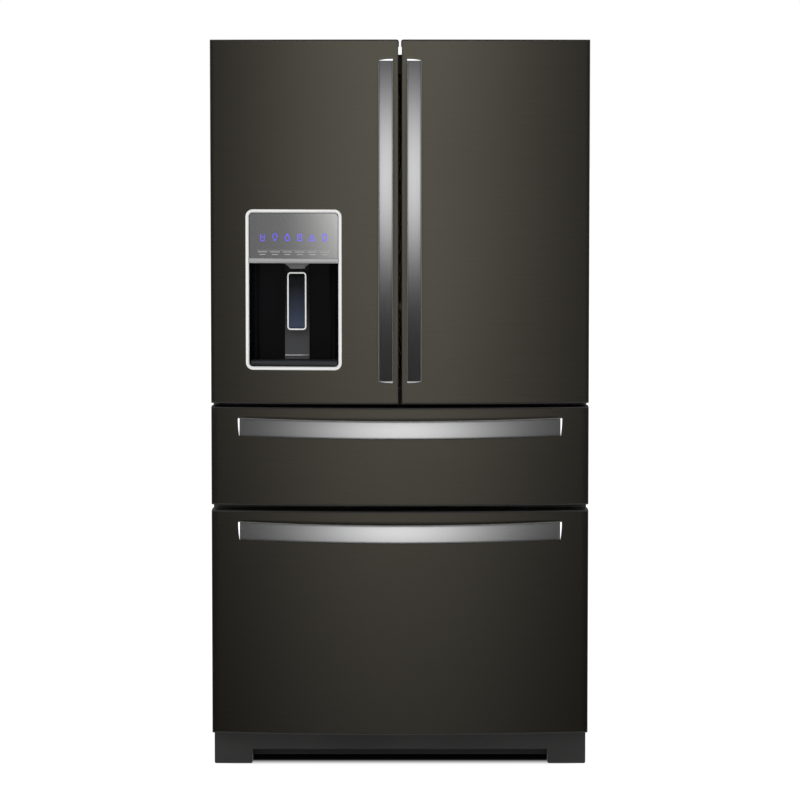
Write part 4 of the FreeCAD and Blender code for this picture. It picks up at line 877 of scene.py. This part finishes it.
def paddle():
    """The paddle's bright frame and its dished tongue."""
    x, z = (paddle_low.x, paddle_high.x), (paddle_low.z, paddle_high.z)
    y_front, y_back = paddle_low.y, paddle_high.y
    bar = 0.0037
    inner_x, inner_z = (x[0] + bar, x[1] - bar), (z[0] + bar, z[1] - bar)
    turns = map(math.radians, spread(0, 180, 8))
    dome = [(bar * (0.5 + 0.5 * math.cos(t)), 0.0012 * math.sin(t)) for t in turns]
    deep = y_back - y_front
    section = dome + [(0.0, -deep + 0.0016), (bar, -deep + 0.0016)]
    stations = rounded_outline(inner_x, inner_z, 0.0045, along=3, round_steps=6)
    surround = add_piece(
        "paddle_frame",
        *frame_loft(stations, section, lambda _: y_front + 0.0014),
        pearl_chrome,
        "paddle",
        "chrome_trim",
    )
    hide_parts("dispenser_paddle")
    half_x, half_z = (inner_x[1] - inner_x[0]) / 2, (inner_z[1] - inner_z[0]) / 2
    mid_x, mid_z = (x[0] + x[1]) / 2, (z[0] + z[1]) / 2

    def place(c, r):
        u, v = c / 12 * 2 - 1, r / 24 * 2 - 1
        dish = 0.0016 * (1 - u * u) * (1 - v**6)
        return mid_x + u * half_x, y_front + 0.0022 + dish, mid_z + v * half_z

    tongue = add_piece("paddle_tongue", *grid(13, 25, place), paddle_insert, "paddle", "black_gloss")
    wall = tongue.modifiers.new("thickness", "SOLIDIFY")
    wall.thickness = 0.003
    wall.offset = -1.0


paddle()


def recess_fittings():
    """The column's moulded face, the polished strip at its foot, and the funnel under the ice chute."""
    mid_x = (paddle_low.x + paddle_high.x) / 2
    tray_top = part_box("dispenser_tray")[1].z
    column_half, column_y = 0.0295, y_panel - 0.014
    plan = [(-column_half, 0.0), (-column_half, -0.0012)]
    plan += [(u, -0.0022 + 0.0007 * abs(u / 0.027) ** 6) for u in spread(-0.027, 0.027, 12)]
    plan += [(column_half, -0.0012), (column_half, 0.0)]
    heights = spread(tray_top + 0.001, panel_low.z - 0.001, 16)
    rings = [[(mid_x + u, column_y + v, z) for u, v in plan] for z in heights]
    face = add_piece("recess_column_face", *loft(rings), column_grey, "left_door", "black_gloss")
    soften(face, 0.0005, 2, 40.0)

    strip = [(0.0016 * math.cos(t), 0.0012 * math.sin(t)) for t in map(math.radians, spread(0, 330, 11))]
    rings = []
    for u in spread(-0.029, 0.029, 20):
        thin = 1.0 if u < 0.014 else 1.0 - 0.6 * (u - 0.014) / 0.015
        rings.append([(mid_x + u, column_y - 0.0038 + v, tray_top + 0.0105 + w * thin) for v, w in strip])
    add_piece("column_foot_strip", *loft(rings), pearl_chrome, "left_door", "chrome_trim")

    top, bottom = panel_low.z - 0.0006, paddle_high.z + 0.009
    y_mid = column_y - 0.037
    rings = []
    for z in spread(bottom, top, 6):
        share = (z - bottom) / (top - bottom)
        wide, deep = 0.0185 + 0.0145 * share**1.5, 0.009 + 0.005 * share
        rings.append([
            (mid_x + 0.0015 + wide * math.copysign(abs(math.cos(t)) ** 0.6, math.cos(t)),
             y_mid + deep * math.copysign(abs(math.sin(t)) ** 0.6, math.sin(t)), z)
            for t in map(math.radians, spread(0, 360, 36)[:-1])
        ])
    add_piece("chute_funnel", *loft(rings), funnel_grey, "left_door", "panel_grey")


recess_fittings()

# ---------------------------------------------------------------- CAD nodes that stay
door_top_dark = notch_low - 0.004
y_inside = y_panel - 0.0025
y_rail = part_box("fridge_liner")[0].y + 0.0016
cad_top = 2.0  # above everything
# each moulding is white between two heights, and dark beyond them and in front of a Y
panel_span = {
    "left_door_liner": (0.886, door_top_dark, y_inside),
    "right_door_liner": (0.886, door_top_dark, y_inside),
    "mid_drawer_liner": (0.6415, 0.8705, y_inside),
    "freezer_drawer_liner": (0.088, 0.6215, y_inside),
    "fridge_liner": (0.0, cad_top, y_rail),
    "lower_liners": (0.0, cad_top, y_rail),
}
finish_of_slot = {
    "foam": foam,
    "seal": rubber,
    "white_liner": white_plastic,
    "clear_plastic": clear_bin,
    "shelf_trim": trim_plastic,
    "shelf_glass": glass,
    "black_gloss": gloss_black,
    "panel_grey": panel_grey,
    "cabinet_paint": cabinet_paint,
    "galvanised": zinc,
    "dark_plastic": dark_plastic,
    "compressor_black": enamel,
    "coil_metal": coil_metal,
    "black_stainless": steel_black,
    "handle_metal": steel_upright,
    "chrome_trim": bright,
}
own_finish = {
    # the dispenser housing takes the painted shade of its recess
    "dispenser_housing": recess_painted_shade_black,
    # painted shade under the appliance
    "base_frame": base_painted_shade_black,
    "door_hinges": cabinet_paint,
    "freezer_tray": frosted_tub,
    "freezer_basket": frosted_tub,
    "mid_drawer_tub": frosted_tub,
    "dispenser_tray": tray_black,
}
edge_width = {
    "toe_grille": 0.0014,
    "cabinet_wrapper": 0.0004,
    "cabinet_back_panel": 0.0003,
    "fridge_liner": 0.0012,
    "lower_liners": 0.0012,
    "hinge_covers": 0.0012,
    "dispenser_housing": 0.0008,
    "dispenser_tray": 0.0006,
    "dispenser_spout": 0.0008,
}
# foam is drawn back behind its sheets; the cabinet's has to clear the wrapper's rounded folds
foam_inset = {"cabinet_foam": 0.004}
unbevelled = {"condenser", "evaporator", "condenser_fan", "machine_cover", "shelf_glass", "rear_rollers"}


def dress_node(node, obj, slot_name):
    """Gives a CAD node its material and, where it has flat moulded or folded faces, softened edges."""
    finish = own_finish.get(node) or finish_of_slot[slot_name]
    if node in panel_span:
        finish = two_tone_panel(f"{node}_finish", *panel_span[node])
    obj.data.materials.clear()
    obj.data.materials.append(finish)
    if obj.hide_render or node in unbevelled:
        return
    weld = obj.modifiers.new("weld", "WELD")
    weld.merge_threshold = 1e-5
    if slot_name == "foam":
        behind = obj.modifiers.new("behind_sheets", "DISPLACE")
        behind.mid_level = 0.0
        behind.strength = -foam_inset.get(node, 0.001)
        return
    flat = obj.modifiers.new("flat_faces", "DECIMATE")
    flat.decimate_type = "DISSOLVE"
    flat.angle_limit = math.radians(0.5)
    soften(obj, edge_width.get(node, 0.0006), 2, 40.0)


for part in frame["record"]["subparts"]:
    dress_node(part["node"], frame["nodes"][part["node"]], part["material_slot"])


def wrapper_folds():
    """Rounded sheet along the wrapper's two upper folds, where the CAD model's rounding cuts through it."""
    low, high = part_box("cabinet_wrapper")
    outer_round, under = 0.006, 0.00005
    x_mid, z_mid = high.x - outer_round, high.z - outer_round
    outline = arc(x_mid, z_mid, outer_round - under, -3, 93, 14)
    outline += arc(x_mid, z_mid, outer_round - sheet, 93, -3, 14)
    for side, name in ((-1, "wrapper_fold_left"), (1, "wrapper_fold_right")):
        rings = [[(side * x, y, z) for x, z in outline] for y in spread(low.y + under, high.y - under, 12)]
        add_piece(name, *loft(rings), cabinet_paint, "cabinet", "cabinet_paint")


wrapper_folds()


# ---------------------------------------------------------------- floor, light and camera
def make_floor():
    """A pale floor that glows up to white, with a painted shadow close under the appliance, where it is dark.
    """
    s = Shader("studio_floor", {"Roughness": 0.9, "Specular IOR Level": 0.0})
    # painted shadow: dark under the appliance's footprint, fading to the white glow within about 6 cm of it
    beside = s.math("MAXIMUM", s.math("SUBTRACT", s.math("ABSOLUTE", s.axis("X")), half - 0.06), 0.0)
    from_middle = s.math("ABSOLUTE", s.math("SUBTRACT", s.axis("Y"), 0.07))
    ahead = s.math("MAXIMUM", s.math("SUBTRACT", from_middle, 0.325), 0.0)
    off = s.math("SQRT", s.math("ADD", s.math("POWER", beside, 2.0), s.math("POWER", ahead, 2.0)))
    lit = s.span(off, 0.0, 1.0, 0.004, 0.062)
    mottle = s.noise((1.5, 1.5, 1.5))
    s.color(s.blend(lit, rgb(0.02, 0.02, 0.02), s.blend(mottle, rgb(0.2, 0.2, 0.2), rgb(0.22, 0.22, 0.22))))
    s.feed(s.surface.inputs["Emission Color"], rgb(1.0, 1.0, 1.0))
    s.feed(s.surface.inputs["Emission Strength"], s.math("MULTIPLY", lit, 0.92))
    reach = 60.0
    corners = [(-reach, -reach, 0.0), (reach, -reach, 0.0), (reach, reach, 0.0), (-reach, reach, 0.0)]
    floor = new_object("studio_floor", corners, [(0, 1, 2, 3)], s.material)
    floor.visible_glossy = False


def make_dome():
    """The studio as metal sees it: a soft light behind the camera, dim walls, pale sides, rear and top."""
    s = Shader("studio_dome", {})
    way = s.node("ShaderNodeVectorMath", {0: s.place}, operation="NORMALIZE").outputs[0]
    axes = s.node("ShaderNodeSeparateXYZ", {"Vector": way}).outputs
    side, ahead, up = axes["X"], axes["Y"], axes["Z"]

    def bell(value, centre, width, power):
        off = s.math("ABSOLUTE", s.math("DIVIDE", s.math("SUBTRACT", value, centre), width))
        return s.math("EXPONENT", s.math("MULTIPLY", s.math("POWER", off, power), -1.0))

    soft_box = s.math("MULTIPLY", bell(side, 0.0, 0.264, 2.0), bell(up, 0.055, 0.125, 2.5))
    soft_box = s.math("MULTIPLY", soft_box, s.math("LESS_THAN", ahead, 0.0))
    beside = s.math("MULTIPLY", bell(s.math("ABSOLUTE", side), 0.92, 0.16, 4.0), bell(up, 0.05, 0.6, 4.0))
    around = s.math("MAXIMUM", s.span(ahead, 0.0, 0.5, 0.1, 0.7), s.math("MULTIPLY", beside, 0.75))
    overhead = s.span(up, 0.0, 0.5, 0.7, 1.0)
    level = s.math("ADD", s.math("MULTIPLY", soft_box, 1.76), 0.038)
    level = s.math("ADD", level, s.math("MAXIMUM", around, overhead))
    glow = s.node("ShaderNodeEmission", {"Strength": level})
    output = next(n for n in s.tree.nodes if n.type == "OUTPUT_MATERIAL")
    s.feed(output.inputs["Surface"], glow.outputs[0])
    mesh = bpy.data.meshes.new("studio_dome")
    work = bmesh.new()
    bmesh.ops.create_icosphere(work, subdivisions=4, radius=40.0)
    work.to_mesh(mesh)
    work.free()
    mesh.materials.append(s.material)
    dome = bpy.data.objects.new("studio_dome", mesh)
    dome.location = (0.0, 0.0, 0.9)
    bpy.context.scene.collection.objects.link(dome)
    dome.visible_camera = False
    dome.visible_diffuse = False
    dome.visible_shadow = False
    dome.visible_transmission = False
    s.material.cycles.emission_sampling = "NONE"


def make_world():
    """A white world that lights the object and fills the picture, but isn't mirrored in metal."""
    world = bpy.data.worlds.new("studio")
    world.use_nodes = True
    back = world.node_tree.nodes["Background"]
    back.inputs["Color"].default_value = rgb(1.0, 1.0, 1.0)
    back.inputs["Strength"].default_value = 1.0
    world.cycles_visibility.glossy = False
    bpy.context.scene.world = world


def make_key_light():
    """Soft light from beside the camera that shapes the open interior and the floor's shadow."""
    data = bpy.data.lights.new("key", "AREA")
    data.shape = "RECTANGLE"
    data.size, data.size_y = 3.0, 2.4
    data.energy = 60.0
    lamp = bpy.data.objects.new("key", data)
    lamp.location = (-1.2, -5.5, 3.2)
    aim = Vector((0.0, 0.0, 0.9)) - Vector(lamp.location)
    lamp.rotation_euler = aim.to_track_quat("-Z", "Y").to_euler()
    lamp.visible_camera = False
    lamp.visible_glossy = False
    bpy.context.scene.collection.objects.link(lamp)


def make_camera():
    """A long lens straight ahead, level with the upper part of the doors and tilted down to the middle."""
    data = bpy.data.cameras.new("photo_camera")
    data.lens = 163.0
    data.sensor_width = 36.0
    data.shift_y = -0.05
    camera = bpy.data.objects.new("photo_camera", data)
    camera.location = (0.0, -9.0, 1.65)
    tilt = 4.392
    camera.rotation_euler = (math.radians(90.0 - tilt), 0.0, 0.0)
    bpy.context.scene.collection.objects.link(camera)
    bpy.context.scene.camera = camera


make_floor()
make_dome()
make_world()
make_key_light()
make_camera()
bpy.context.scene.view_settings.view_transform = "Standard"
